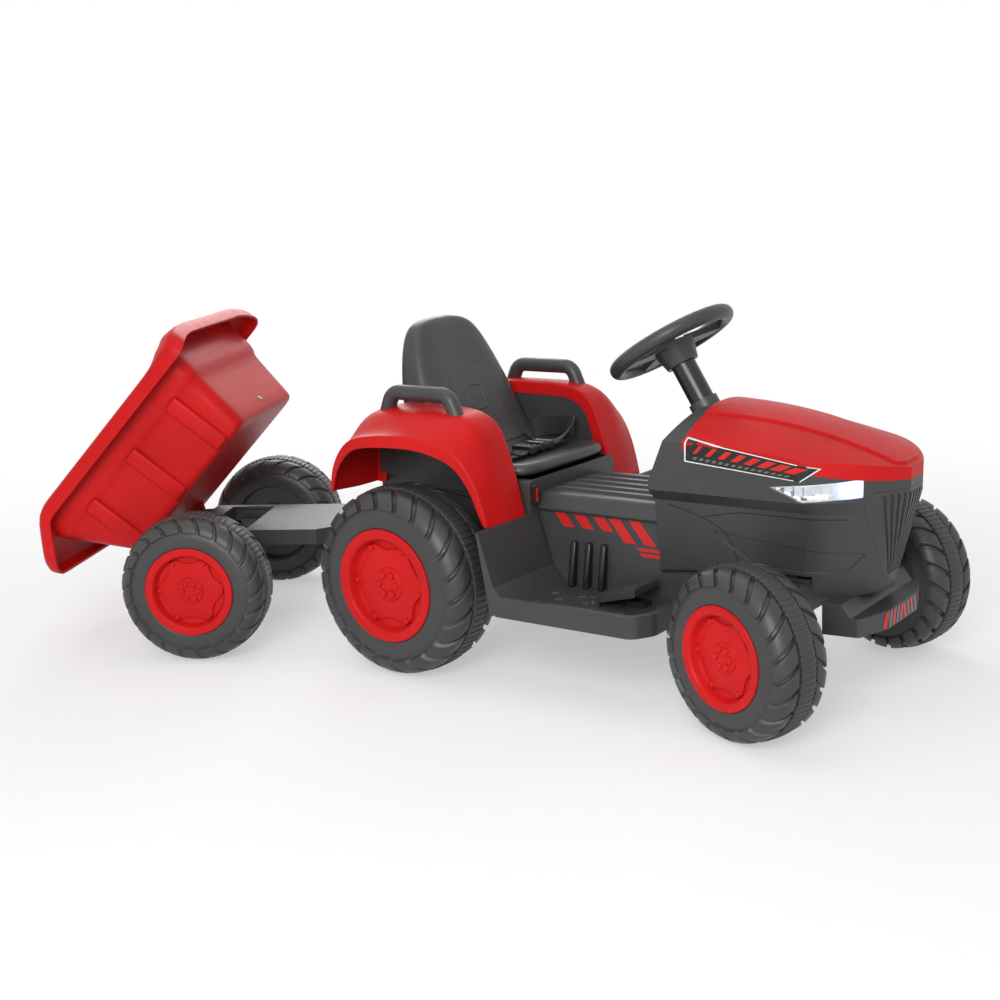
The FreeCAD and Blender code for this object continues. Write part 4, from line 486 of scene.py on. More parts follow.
def tyre(name, radius, width):
    """One slanted pitch of tread, copied round."""
    points, lug = tyre_profile(radius, width)
    piece = chain(name, [(0, y, r) for r, y in points])
    pitch = math.tau / LUGS
    spun(COLUMNS, pitch)

    def spread(place):
        return math.hypot(place.x, place.z) / radius

    def column(centre):
        return int(abs(math.atan2(centre.x, centre.z)) / pitch * COLUMNS)

    def is_lug(centre, side):
        on_shoulder = SHOULDER_START < spread(centre) < SHOULDER_END
        return on_shoulder and centre.y * side > width * SHOULDER_SIDE and column(centre) < LUG_COLUMNS

    def is_rib(centre):
        on_crown = spread(centre) > CROWN_START and abs(centre.y) < width * CROWN_SIDE
        return on_crown and column(centre) % 3 == 0

    for side in (1, -1):
        push_out(piece, lambda c, n: is_lug(c, side), lug)
    push_out(piece, lambda c, n: is_rib(c), radius * RIB_RISE)
    for vertex in piece.data.vertices:
        inwards = clamp((width / 2 - abs(vertex.co.y)) / (width * SLANT_SIDE))
        turn = LUG_SLANT * inwards ** 0.8 if spread(vertex.co) > SLANT_START else 0.0
        vertex.co = Matrix.Rotation(turn, 3, "Y") @ vertex.co
    spun(LUGS - 1, math.tau - pitch, copies=True)
    soften(piece, 1.3 * MM * radius / REAR_RADIUS, 2, 32)
    smooth(piece, 40)
    print(name, "tread pitches:", LUGS, "faces:", len(piece.data.polygons))
    return piece


# %% [markdown]
# ## Hub caps
# Each red cap has a flat flange ring, a steep dish, a six-lobed plate with nubs between the lobes, and a
# boss with six bolt heads. The ring is spun, the plate is an outline extruded and bevelled, and the
# bolts are one shape copied round.

# %% Hub cap
CAP_STEPS, LOBES = 96, 6


def ring_copies(piece, count, offset=0.0):
    """Copies of a piece round the Y axis."""
    twins = []
    for k in range(count):
        turn = Matrix.Rotation(math.tau * (k + offset) / count, 4, "Y")
        twins.append(placed_copy(piece, piece.name + str(k), turn))
    discard(piece)
    return twins


def knob(name, radius, height, at, y):
    """A small rounded stud that stands along Y."""
    bpy.ops.object.select_all(action="DESELECT")
    bpy.ops.mesh.primitive_cylinder_add(vertices=20, radius=radius, depth=height,
                                        rotation=(math.pi / 2, 0, 0), location=(0, y, at))
    piece = bpy.context.object
    piece.name = name
    bpy.ops.object.transform_apply(location=True, rotation=True, scale=True)
    soften(piece, min(radius, height) * 0.35, 3, 40)
    return piece


def hub_cap(name, radius, width):
    """Ring, plate, boss, bolts and nubs, joined."""
    half = width / 2
    s = radius / REAR_RADIUS * MM
    face = half - 15.5 * s
    profile = [(0.600 * radius, half - 4.0 * s), (0.600 * radius, half + 0.6 * s),
               (0.592 * radius, half + 1.8 * s), (0.560 * radius, half + 2.2 * s),
               (0.505 * radius, half + 1.4 * s), (0.490 * radius, half - 0.4 * s),
               (0.482 * radius, half - 3.5 * s), (0.470 * radius, face + 4.0 * s),
               (0.455 * radius, face + 0.8 * s), (0.430 * radius, face), (0.0001 * radius, face)]
    shell = chain(name, [(0, y, r) for r, y in profile])
    spun(CAP_STEPS)
    corners = []
    for k in range(CAP_STEPS * 2):
        angle = math.tau * k / (CAP_STEPS * 2)
        from_bite = abs((angle * LOBES / math.pi) % 2 - 1)
        bite = max(0.0, 1 - ((1 - from_bite) / 0.80) ** 2)
        reach = (0.452 - 0.085 * bite) * radius
        corners.append((reach * math.sin(angle), face - 1.0 * s, reach * math.cos(angle)))
    plate = outline("plate", corners)
    edit(lambda: bpy.ops.mesh.extrude_region_move(TRANSFORM_OT_translate={"value": (0, 5.2 * s, 0)}), mend)
    soften(plate, 1.6 * s, 3, 50)
    boss_profile = [(0.180 * radius, face + 3.0 * s), (0.176 * radius, face + 6.4 * s),
                    (0.168 * radius, face + 7.4 * s), (0.150 * radius, face + 7.8 * s),
                    (0.060 * radius, face + 7.8 * s), (0.055 * radius, face + 7.0 * s),
                    (0.0001 * radius, face + 7.0 * s)]
    boss = chain("boss", [(0, y, r) for r, y in boss_profile])
    spun(CAP_STEPS // 2)
    bolts = ring_copies(knob("bolt", 5.2 * s, 6.0 * s, 0.112 * radius, face + 9.0 * s), LOBES, 0.5)
    nubs = ring_copies(knob("nub", 4.4 * s, 7.0 * s, 0.425 * radius, face + 4.6 * s), LOBES, 0.5)
    cap = joined(name, [shell, plate, boss] + bolts + nubs)
    smooth(cap, 32)
    return cap


# %% [markdown]
# The wheels differ in size alone, so a tyre and a cap are made once for each pair of wheels. Each copy takes
# its place from its solid and its direction from its spin joint.

# %% Wheels
SIDES = (("left", 1), ("right", -1))
WHEELS = (("rear", REAR_RADIUS, 100 * MM), ("front", 110 * MM, 82 * MM), ("trailer", 110 * MM, 82 * MM))


def wheel_matrix(tyre_node, joint_name, outer):
    """Where a wheel sits: its middle, turned so that the cap faces out."""
    low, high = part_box(tyre_node)
    axis = Vector(joints[joint_name]["axis"])
    yaw = math.atan2(-axis.x, axis.y) + (0 if outer > 0 else math.pi)
    return Matrix.Translation((low + high) / 2) @ Matrix.Rotation(yaw, 4, "Z")


for kind, radius, width in WHEELS:
    tread = tyre(kind + "_tread", radius, width)
    cap = hub_cap(kind + "_cap", radius, width)
    for side, outer in SIDES:
        solid, body = f"{kind}_tyre_{side}", f"wheel_{kind}_{side}"
        matrix = wheel_matrix(solid, f"{kind}_wheel_{side}_spin", outer)
        settle(placed_copy(tread, f"{kind}_{side}_tread", matrix), body, "tyre_plastic", tyre_finish, solid)
        settle(placed_copy(cap, f"{kind}_{side}_cap", matrix), body, "red_plastic", red,
               f"{kind}_hub_cap_{side}")
    discard(tread)
    discard(cap)

# %% [markdown]
# ## Lap belt
# The belt is flat woven tape: one short run lies on the seat, the other leaves the buckle, stands on its
# edge, folds and comes back to the corner of the seat. A tape is a strip of faces along a few
# points, each with the way that its width points, so it can lie flat, twist and fold.

# %% Webbing
TAPE_WIDTH = 29 * MM
TAPE_THICKNESS = 1.5 * MM
TAPE_STEPS = 9
TAPE_ACROSS = 6


def curve_point(points, at):
    """A smooth point between the given ones (Catmull-Rom)."""
    last = len(points) - 1
    k = min(int(at), last - 1)
    t = at - k
    p0, p1, p2, p3 = (points[min(max(k + d, 0), last)] for d in (-1, 0, 1, 2))
    return 0.5 * ((2 * p1) + (p2 - p0) * t + (2 * p0 - 5 * p1 + 4 * p2 - p3) * t * t
                  + (3 * p1 - 3 * p2 + p3 - p0) * t ** 3)


def curve(points, steps):
    """The smooth line through the given points, with a few steps between each two."""
    return [curve_point(points, k / steps) for k in range((len(points) - 1) * steps + 1)]


def tape(name, stations):
    """A strip of webbing through stations of (place, way of its width), in millimetres."""
    places = [Vector(place) * MM for place, way in stations]
    ways = [Vector(way).normalized() for place, way in stations]
    steps = (len(stations) - 1) * TAPE_STEPS
    points, lengths, run = [], [], 0.0
    for k in range(steps + 1):
        at = k / TAPE_STEPS
        middle = curve_point(places, at)
        way = curve_point(ways, at).normalized()
        if k:
            run += (middle - before).length
        before = middle
        lengths.append(run)
        points += [middle + way * TAPE_WIDTH * (c / TAPE_ACROSS - 0.5) for c in range(TAPE_ACROSS + 1)]
    row = TAPE_ACROSS + 1
    piece = start(name, points, faces=skin_faces(steps + 1, row))
    layer = piece.data.uv_layers.new(name="tape")
    for loop in piece.data.loops:
        k, c = divmod(loop.vertex_index, row)
        layer.data[loop.index].uv = (lengths[k], TAPE_WIDTH * c / TAPE_ACROSS)
    modify(piece, "SOLIDIFY", thickness=TAPE_THICKNESS, offset=0.0)
    smooth(piece, 50)
    print(name, "length:", round(run, 3))
    return piece


FLAT, EDGE = (1, 0, 0), (0.1, 0, 1)
near_run = tape("belt_near_run", [
    ((111.6, 37, 293.2), FLAT), ((111.8, 24, 290.4), FLAT), ((112, 6, 289.6), FLAT),
    ((112.4, -14, 289.4), FLAT), ((112.8, -32, 289.2), FLAT), ((113, -45.5, 286.6), FLAT)])
settle(near_run, "tractor", "webbing", webbing, "belt_right")
far_run = tape("belt_far_run", [
    ((111.6, 92, 293.2), FLAT), ((112, 106, 293.4), FLAT), ((114, 124, 295.5), (0.94, 0, 0.34)),
    ((116, 142, 300), (0.72, 0, 0.69)), ((117, 158, 304.5), (0.35, 0, 0.93)),
    ((113, 169.5, 307), EDGE), ((105, 171, 308.5), EDGE), ((98, 163, 309.5), EDGE),
    ((92, 146, 311), (0.0, 0.1, 1)), ((85, 128, 312), (-0.2, 0.1, 0.97)),
    ((76, 118, 308.5), (-0.5, 0.1, 0.86)), ((66, 122, 299), (-0.8, 0.3, 0.5)),
    ((60, 134, 290.5), (-0.9, 0.4, 0.1)), ((56, 146, 288), (-0.9, 0.4, 0.0))])
settle(far_run, "tractor", "webbing", webbing, "belt_left")

# %% [markdown]
# ## Buckle
# A side-release buckle: the socket is a frame with a waist on each side, the plug has a ribbed grip and
# two springy arms whose pads show in those waists. One block with many cuts could do, but separate
# blocks, each a cube that is sized, bevelled and sunk where a hollow shows, are easier to place.

# %% Side-release buckle
UP, BACK = Vector((0, 0, 1)), Vector((-1, 0, 0))
BUCKLE_X, ARM_OUT, ARM_HALF, PAD_OUT, PAD_HALF = 111.6, 13.4, 2.2, 13.0, 3.4
RIDGE_STEPS, SLIDER_SIDES, SLIDER_BARS = (0, 4.2, 8.4), (0, 31), (0, 7.5, 15)


def slab(name, low, high, round_by):
    """A rounded block between two corners, in millimetres."""
    bpy.ops.object.select_all(action="DESELECT")
    low, high = Vector(low) * MM, Vector(high) * MM
    bpy.ops.mesh.primitive_cube_add(size=1, location=(low + high) / 2, scale=high - low)
    piece = bpy.context.object
    piece.name = name
    bpy.ops.object.transform_apply(location=True, rotation=True, scale=True)
    soften(piece, round_by * MM, 3, 40)
    return piece


def dented(piece, way, thickness, depth):
    """Inset the faces that look one way and sink them."""
    only(piece)
    pick(piece, lambda c, n: n.dot(way) > 0.99)
    edit(lambda: bpy.ops.mesh.inset(thickness=thickness * MM, depth=-depth * MM), everything=False)
    return piece


socket_parts = [
    dented(slab("frame_in", (96, 64.9, 287.3), (127, 74, 300), 1.6), UP, 2.2, 0.8),
    slab("waist", (103.5, 72, 288), (119.5, 86, 299.4), 2.0),
    dented(slab("frame_out", (94, 84, 287.3), (129, 95.5, 299.6), 2.2), UP, 2.4, 1.0),
    slab("bar", (96, 93.5, 289.5), (127, 96.5, 297), 1.3)]
settle(joined("buckle_frame", socket_parts), "tractor", "black_plastic", black, "buckle_socket")
plug_parts = [dented(slab("grip", (93.6, 34.2, 287.3), (129.6, 52, 299.6), 2.4), UP, 3.0, 0.9)]
plug_parts += [slab("ridge", (98, 38 + y, 298.2), (125, 40 + y, 300), 0.7) for y in RIDGE_STEPS]
plug_parts.append(slab("tongue", (101, 50, 290.5), (122, 65.2, 296.5), 1.2))
for side in (-1, 1):
    arm, pad = BUCKLE_X + side * ARM_OUT, BUCKLE_X + side * PAD_OUT
    plug_parts.append(slab("arm", (arm - ARM_HALF, 50, 290), (arm + ARM_HALF, 66, 297.4), 1.2))
    plug_parts.append(slab("pad", (pad - PAD_HALF, 73.5, 289), (pad + PAD_HALF, 84.5, 298.4), 2.0))
settle(joined("buckle_grip", plug_parts), "tractor", "black_plastic", black, "buckle_plug")
slider = [slab("slider_side", (94 + x, 8, 288.6), (98 + x, 26, 292.6), 1.2) for x in SLIDER_SIDES]
slider += [slab("slider_bar", (95, 8 + y, 290.2), (128, 11 + y, 292.8), 1.1) for y in SLIDER_BARS]
settle(joined("belt_slider", slider), "tractor", "black_plastic", black)

# %% [markdown]
# ## Fenders
# A fender is one smooth moulding: a level top, an inner wall along the seat, a flare that sweeps down to
# the wheel and a lip round the wheel arch. It could be cut from a block, but its faces run into each other
# without an edge. So a grid of points follows two side outlines, the seat side and the wheel side, and
# a subdivision surface with a thickness makes the shell.

# %% Fender
# Places on the tractor are measured from its rear axle and its middle plane, in millimetres
AXLE_X = joints["rear_wheel_left_spin"]["pos_m"][0] / MM
MIDDLE_Y = joints["hitch_swing"]["pos_m"][1] / MM
MIDDLE = Matrix.Translation((AXLE_X * MM, MIDDLE_Y * MM, 0))
FENDER_X, FENDER_Z = (-125.0, 147.0), (218.0, 368.0)
SEAT_SIDE = [(0.0, 0.2), (0.02, 0.60), (0.085, 0.88), (0.22, 1.0), (0.45, 1.01), (0.66, 1.0), (0.79, 0.94),
             (0.875, 0.79), (0.94, 0.45), (0.975, 0.2), (1.0, 0.0)]
WHEEL_SIDE = [(0.02, 0.235), (0.045, 0.46), (0.105, 0.645), (0.20, 0.765), (0.40, 0.815), (0.575, 0.80),
              (0.72, 0.715), (0.83, 0.585), (0.905, 0.40), (0.945, 0.2), (0.968, 0.025)]
FENDER_NEAR, FENDER_FAR = 115.0, 225.0
FENDER_ROWS = [0.0, 0.03, 0.14, 0.34, 0.50, 0.64, 0.78, 0.90, 0.97, 1.0]
FENDER_STEPS, FENDER_WALL, INNER_WALL = 3, 3.2, 20.0
FLARE_START, NARROW_START, NARROW_BY = 0.36, 0.42, 0.24
WELL_MIDDLE = Vector((10, 0, 225))
ARCH_X, ARCH_Z = 2.0, 150.0
LIP_END, LIP_MIDDLE = 5.0, 17.0


def side_curve(shares):
    """A side outline in millimetres, with extra points between the given ones."""
    corners = [Vector((FENDER_X[0] + (FENDER_X[1] - FENDER_X[0]) * a, 0,
                       FENDER_Z[0] + (FENDER_Z[1] - FENDER_Z[0]) * b)) for a, b in shares]
    return curve(corners, FENDER_STEPS)


def flare(share):
    """How far the side outline has gone from the seat's to the wheel's."""
    t = clamp((share - FLARE_START) / (1 - FLARE_START))
    return t * t * (3 - 2 * t)


def reach_out(x):
    """Width of the fender at a place along it: it narrows to its front."""
    along = (x - FENDER_X[0]) / (FENDER_X[1] - FENDER_X[0])
    return 1.0 - NARROW_BY * clamp((along - NARROW_START) / (1 - NARROW_START)) ** 1.35


def fender_column(a, b, share):
    """A line of points across the fender, from the inner wall over the top to the lip."""
    inner = a + (WELL_MIDDLE - a).normalized() * INNER_WALL
    column = [Vector((place.x, FENDER_NEAR, place.z)) for place in (inner, a.lerp(inner, 0.25))]
    wide = reach_out(a.x)
    for row in FENDER_ROWS:
        place = a.lerp(b, flare(row * wide))
        column.append(Vector((place.x, FENDER_NEAR + (FENDER_FAR - FENDER_NEAR) * row * wide, place.z)))
    lip = column[-1]
    drop = LIP_END + (LIP_MIDDLE - LIP_END) * math.sin(math.pi * share) ** 0.7
    low = lip + (Vector((ARCH_X, lip.y, ARCH_Z)) - lip).normalized() * drop
    return column + [lip.lerp(low, 0.3), low]


def fender(name):
    """The shell of the left fender, about the tractor's middle."""
    near, far = side_curve(SEAT_SIDE), side_curve(WHEEL_SIDE)
    columns = [fender_column(a, b, k / (len(near) - 1)) for k, (a, b) in enumerate(zip(near, far))]
    piece = start(name, [p * MM for column in columns for p in column],
                  faces=skin_faces(len(columns), len(columns[0])))
    edit(mend)
    modify(piece, "SUBSURF", levels=1, render_levels=1)
    modify(piece, "SOLIDIFY", thickness=FENDER_WALL * MM, offset=-1.0)
    smooth(piece, 60)
    return piece


shell = fender("fender_shell")
for side, sign in SIDES:
    twin = placed_copy(shell, f"fender_{side}_shell", MIDDLE @ Matrix.Scale(sign, 4, (0, 1, 0)))
    if sign < 0:
        only(twin)
        edit(bpy.ops.mesh.flip_normals)
    settle(twin, "tractor", "red_plastic", red, f"fender_{side}")
discard(shell)

# %% [markdown]
# ## Printed stripes
# Slanted bars are a common pattern on toys and machines. They could be painted by the shader, but a thin
# piece keeps a crisp edge. Each bar is a flat face drawn in the side view, cut into a fine grid and pressed
# on the plastic behind it, a hair proud of it.

# %% Stripes


def print_finish(name, colour):
    """Thin printed film: an even satin with faint speckle and worn spots."""
    material, tree, shader, where = finish_start(name)
    patch = where.noise(60.0, 5.0)
    worn = [c * 0.92 for c in colour] + [1]
    fresh = [min(1, c * 1.05) for c in colour] + [1]
    feed(tree, shader, Base_Color=patch.ramp(0.35, 0.75).tint(worn, fresh))
    feed(tree, shader, Roughness=0.34 + (patch - 0.5) * 0.15, Normal=where.noise(900.0, 2.0).bump(0.04, 0.2))
    feed(tree, shader, Specular_IOR_Level=0.35)
    return material


film_red = print_finish("film_red", (0.58, 0.014, 0.010))
film_white = print_finish("film_white", (0.74, 0.75, 0.74))
# The near-black film is the side band's dark print, and it is also the painted shadow inside the nose's grooves.
film_dark = print_finish("film_dark", (0.010, 0.012, 0.010))
film_grey = print_finish("film_grey", (0.13, 0.13, 0.13))


def pressed(name, shapes, carriers, way, lift, cuts=5):
    """Four-cornered shapes of the side or front view, pressed on solids along a way."""
    way = Vector(way)
    points, faces = [], []
    for shape in shapes:
        faces.append(tuple(range(len(points), len(points) + len(shape))))
        points += shape
    piece = start(name, points, faces=faces)
    edit(lambda: bpy.ops.mesh.subdivide(number_cuts=cuts))
    missed = 0
    for vertex in piece.data.vertices:
        origin = vertex.co - way * 0.5
        hits = []
        for carrier in carriers:
            found, place, normal, index = nodes[carrier].ray_cast(origin, way)
            if found:
                hits.append(((place - origin).length, place, normal))
        if hits:
            length, place, normal = min(hits, key=lambda hit: hit[0])
            vertex.co = place + normal * lift
        else:
            missed += 1
    print(name, "points:", len(piece.data.vertices), "missed:", missed)
    smooth(piece, 60)
    return piece


def side_view(corners):
    """Corners of (x, z), measured from the rear axle, as points."""
    return [((x + AXLE_X) * MM, 0.0, z * MM) for x, z in corners]


def slanted(x, z_low, z_high, width, lean):
    """A bar that leans back."""
    return side_view([(x, z_low), (x + width, z_low), (x + width - lean, z_high), (x - lean, z_high)])


# %% Stripes on the tunnel
# Each side with the way of Y that points into the part
INWARDS = (("right", 1), ("left", -1))
STRIPE_PITCH, STRIPE_WIDTH, STRIPE_TOP = 32, 18, 221.5
LINE_LOW, LINE_PITCH, LINE_HEIGHT = 174, 7.5, 4.5
LINE_REAR, LINE_FRONT, LINE_STEP, LINE_LEAN = 318, 364, 6, 4
tunnel_shapes = [slanted(190 + STRIPE_PITCH * k, 203, STRIPE_TOP, STRIPE_WIDTH, 16) for k in range(3)]
tunnel_shapes += [slanted(290 + STRIPE_PITCH * k, 190, STRIPE_TOP, STRIPE_WIDTH, 27) for k in range(2)]
for k in range(2):
    low = LINE_LOW + LINE_PITCH * k
    high = low + LINE_HEIGHT
    rear = LINE_REAR - LINE_STEP * k
    corners = [(rear, low), (LINE_FRONT, low), (LINE_FRONT, high), (rear - LINE_LEAN, high)]
    tunnel_shapes.append(side_view(corners))
for side, way in INWARDS:
    piece = pressed(f"tunnel_bars_{side}", tunnel_shapes, ["body_tub"], (0, way, 0), 0.35 * MM)
    settle(piece, "tractor", "red_plastic", film_red)

# %% [markdown]
# ## Lamp
# Behind the clear lens lies a mirror with upright facets that fan out from the back corner. A bump could
# only hint at them, so the facets are a folded strip whose folds stand alternately near and far behind
# the lens and follow its curve.

# %% Lamp facets
FACETS, LAMP_ROWS = 16, 4
LAMP_START, LAMP_END = (556.0, 287.0, 292.0), (660.0, 288.0, 305.0)
LAMP_SWELL, LAMP_OUT, FOLD_NEAR, FOLD_FAR = 6.0, 118.0, 4.5, 11.0


def lamp_fan(name, way):
    """A folded mirror strip behind one lens."""
    points = []
    for k in range(FACETS + 1):
        share = k / FACETS
        x, low, high = (a + (b - a) * share for a, b in zip(LAMP_START, LAMP_END))
        swell = LAMP_SWELL * math.sin(math.pi * min(1.0, share * 1.6)) * (1 - share)
        depth = (FOLD_NEAR if k % 2 else FOLD_FAR) * MM
        for row in range(LAMP_ROWS):
            z = low - swell + (high - low + 2 * swell) * row / (LAMP_ROWS - 1)
            beside = Vector((x, MIDDLE_Y - way * LAMP_OUT, z)) * MM
            found, place, normal, index = nodes["headlamp_lenses"].closest_point_on_mesh(beside)
            points.append(place + Vector((-0.5 * depth, way * depth * 0.8, 0)))
    piece = start(name, points, faces=skin_faces(FACETS + 1, LAMP_ROWS))
    modify(piece, "SOLIDIFY", thickness=0.8 * MM, offset=0.0)
    return piece


fans = joined("lamp_fan", [lamp_fan(f"fan_{side}", way) for side, way in INWARDS])
settle(fans, "tractor", "reflector", mirror)

# %% [markdown]
# ## Side band and bumper stripes
# A dark film along the hood's side carries a pale edge, slanted bars that grow towards the front and a row
# of small dashes. The bumper's corner has red and grey slanted bars. They are pressed on as the others.

# %% Side band
BAND_LOW, BAND_HIGH = ((406.0, 319.0), (566.0, 305.0)), ((406.0, 349.0), (590.0, 322.0))
BAND_CARRIERS, BAND_PARTS = ["hood", "nose_shell", "dash_panel"], 8


def between(a, b, share):
    """A point on the way from one to another."""
    return tuple(p + (q - p) * share for p, q in zip(a, b))


def band_point(along, up):
    """A point of the side band by its shares."""
    return between(between(*BAND_LOW, along), between(*BAND_HIGH, along), up)


def band_bar(a, b, low, high, lean=0.0):
    """A bar inside the band, upright or slanted."""
    return side_view([band_point(a, low), band_point(b, low),
                      band_point(b + lean, high), band_point(a + lean, high)])


band_ground = [band_bar(k / BAND_PARTS, (k + 1) / BAND_PARTS, 0.0, 1.0) for k in range(BAND_PARTS)]
band_edge = [band_bar(0.0, 1.0, 0.0, 0.05), band_bar(0.0, 1.0, 0.95, 1.0),
             band_bar(0.0, 0.012, 0.05, 0.95), band_bar(0.988, 1.0, 0.05, 0.95)]
band_red = [band_bar(0.07 + 0.105 * k, 0.10 + 0.113 * k, 0.42, 0.84, 0.05) for k in range(8)]
band_grey = [band_bar(0.07 + 0.055 * k, 0.10 + 0.055 * k, 0.16, 0.29, 0.015) for k in range(15)]
band_films = (("ground", band_ground, "black_plastic", film_dark, 0.3, 6),
              ("edge", band_edge, "black_plastic", film_white, 0.5, 12),
              ("bars", band_red, "red_plastic", film_red, 0.5, 4),
              ("dashes", band_grey, "black_plastic", film_grey, 0.5, 3))
for side, way in INWARDS:
    for label, shapes, slot, film, lift, cuts in band_films:
        piece = pressed(f"side_band_{label}_{side}", shapes, BAND_CARRIERS, (0, way, 0), lift * MM, cuts)
        settle(piece, "tractor", slot, film)

# %% Bumper stripes
BUMPER_START, BUMPER_PITCH, BUMPER_BAR, BUMPER_LEAN = 58, 11.5, 7.2, 6
BUMPER_LOW, BUMPER_HIGH, IN_FRONT = 112.0, 132.0, 0.6
bumper_bars = {"red": [], "grey": []}
for side in (-1, 1):
    for k in range(5):
        out = BUMPER_START - BUMPER_PITCH * k
        bar = [(out, BUMPER_LOW), (out - BUMPER_BAR, BUMPER_LOW),
               (out - BUMPER_BAR - BUMPER_LEAN, BUMPER_HIGH), (out - BUMPER_LEAN, BUMPER_HIGH)]
        shape = [(IN_FRONT, (MIDDLE_Y + side * y) * MM, z * MM) for y, z in bar]
        bumper_bars["grey" if k % 2 else "red"].append(shape)
for label, slot, film in (("red", "red_plastic", film_red), ("grey", "dark_plastic", film_grey)):
    piece = pressed(f"bumper_bars_{label}", bumper_bars[label], ["front_bumper"], (-1, 0, 0), 0.4 * MM)
    settle(piece, "tractor", slot, film)

# %% [markdown]
# ## Seat
# The seat is one blow-moulded shell: a pan with a soft rim that sweeps up into a broad dished back. Level
# rings give both forms full control over their width and depth, so the back is a stack of rings from the
# pan to the rounded top, and the pan is a nest of rings from its foot to its hollow middle.

# %% Seat shell
RING_POINTS = 48
BACK_RINGS = [(270.0, 58.0, -76.0, 112.0), (280.0, 52.0, -80.0, 113.0), (289.0, 41.0, -83.0, 113.0),
              (297.0, 27.0, -85.0, 113.0), (309.0, 15.0, -87.0, 113.0), (327.0, 5.0, -90.0, 112.0),
              (352.0, -6.0, -94.0, 109.0), (380.0, -19.0, -98.0, 103.0), (406.0, -32.0, -101.0, 96.0),
              (430.0, -44.0, -103.0, 88.0), (450.0, -54.0, -104.0, 79.0), (464.0, -61.0, -104.0, 69.0),
              (473.0, -67.0, -102.0, 57.0), (478.5, -74.0, -98.0, 41.0), (481.0, -81.0, -92.0, 20.0)]
PAN_RINGS = [(268.4, 0.0), (276.0, 0.0), (283.0, 0.8), (286.6, 3.6), (288.0, 8.5), (287.4, 15.0),
             (285.0, 23.0), (283.6, 34.0), (283.0, 60.0), (283.0, 90.0)]
BACK_DISH, DISH_DEPTH, BACK_POWER = 13.0, 100.0, 0.62
PAN_X, PAN_HALF_LENGTH, PAN_HALF_WIDTH, PAN_POWER = 36.0, 111.0, 114.0, 0.36


def rounded(power, count=RING_POINTS):
    """The points of a rounded unit square."""
    ring = []
    for k in range(count):
        c, s = math.cos(math.tau * k / count), math.sin(math.tau * k / count)
        ring.append((math.copysign(abs(c) ** power, c), math.copysign(abs(s) ** power, s)))
    return ring


def ringed(name, rings):
    """Skin a stack of rings and close both ends."""
    count, last = len(rings[0]), len(rings) - 1
    faces = skin_faces(len(rings), count, closed=True)
    faces += [tuple(range(count)), tuple(last * count + k for k in range(count))]
    piece = start(name, [Vector(p) * MM for ring in rings for p in ring], faces=faces)
    edit(mend)
    return piece


def back_ring(z, front, rear, wide):
    """A level ring of the back, hollowed towards the sitter."""
    ring = []
    for a, b in rounded(BACK_POWER):
        x = (front + rear) / 2 + a * (front - rear) / 2
        if a > 0:
            x -= BACK_DISH * min(1.0, (front - rear) / DISH_DEPTH) * a * (1 - b * b) ** 1.5
        ring.append((x, b * wide, z))
    return ring


def pan_ring(z, inset):
    """A level ring of the pan."""
    return [(PAN_X + a * (PAN_HALF_LENGTH - inset), b * (PAN_HALF_WIDTH - inset), z)
            for a, b in rounded(PAN_POWER)]


seat_back = ringed("seat_back", [back_ring(*ring) for ring in BACK_RINGS])
seat_pan = ringed("seat_pan", [pan_ring(*ring) for ring in PAN_RINGS])
for form in (seat_back, seat_pan):
    modify(form, "SUBSURF", levels=1, render_levels=1)
    smooth(form, 70)
    print(form.name, "faces:", len(form.data.polygons))

# %% [markdown]
# The back carries a shallow arched panel with a small square mark in it. A cut would spoil the smooth skin,
# so both are flat rings projected on the back with Shrinkwrap and given a little thickness, and they
# follow its hollow. The latch below the seat gets a narrow red tab that rides with it.

# %% Seat panel
ARCH = [(0.0, 407.0), (24.0, 406.0), (37.0, 401.0), (45.0, 391.0), (50.0, 374.0), (56.0, 345.0),
        (62.0, 316.0), (66.0, 296.0)]
ARCH_FOOT, ARCH_MIDDLE, ARCH_SHARES = 294.0, 340.0, (1.0, 0.93, 0.8, 0.6, 0.4, 0.2)
FOOT_PLACES = (44.0, 22.0, 0.0, -22.0, -44.0)
MARK_HEIGHT, MARK_HALVES, MARK_POINTS = 362.0, (19.0, 16.4), 40
BEFORE_BACK = 60.0


def shrunk_ring(name, loops, thickness, filled=False):
    """Rings of (y, z) points, laid on the back and thickened."""
    count, last = len(loops[0]), len(loops) - 1
    faces = skin_faces(len(loops), count, closed=True)
    if filled:
        faces.append(tuple(last * count + k for k in range(count)))
    piece = start(name, [Vector((BEFORE_BACK, y, z)) * MM for loop in loops for y, z in loop], faces=faces)
    modify(piece, "SHRINKWRAP", target=seat_back, wrap_method="PROJECT", use_project_x=True,
           use_project_y=False, use_project_z=False, use_negative_direction=True,
           use_positive_direction=False)
    modify(piece, "SOLIDIFY", thickness=thickness, offset=0.0)
    soften(piece, 0.5 * MM)
    smooth(piece, 40)
    return piece


half_arch = [(p.x, p.z) for p in curve([Vector((y, 0, z)) for y, z in ARCH], 4)]
arch = half_arch + [(y, ARCH_FOOT) for y in FOOT_PLACES] + [(-y, z) for y, z in half_arch[:0:-1]]
arch_loops = [[(y * share, ARCH_MIDDLE + (z - ARCH_MIDDLE) * share) for y, z in arch]
              for share in ARCH_SHARES]
mark_loops = [[(a * half, MARK_HEIGHT + b * half) for a, b in rounded(0.4, MARK_POINTS)]
              for half in MARK_HALVES]
seat_panel = shrunk_ring("seat_panel", arch_loops, 2.6 * MM, filled=True)
seat_mark = shrunk_ring("seat_mark", mark_loops, 4.6 * MM)
seat_form = joined("seat_form", [seat_back, seat_pan, seat_panel, seat_mark])
settle(moved(seat_form, "seat_shell", MIDDLE), "tractor", "dark_plastic", dark, "seat")

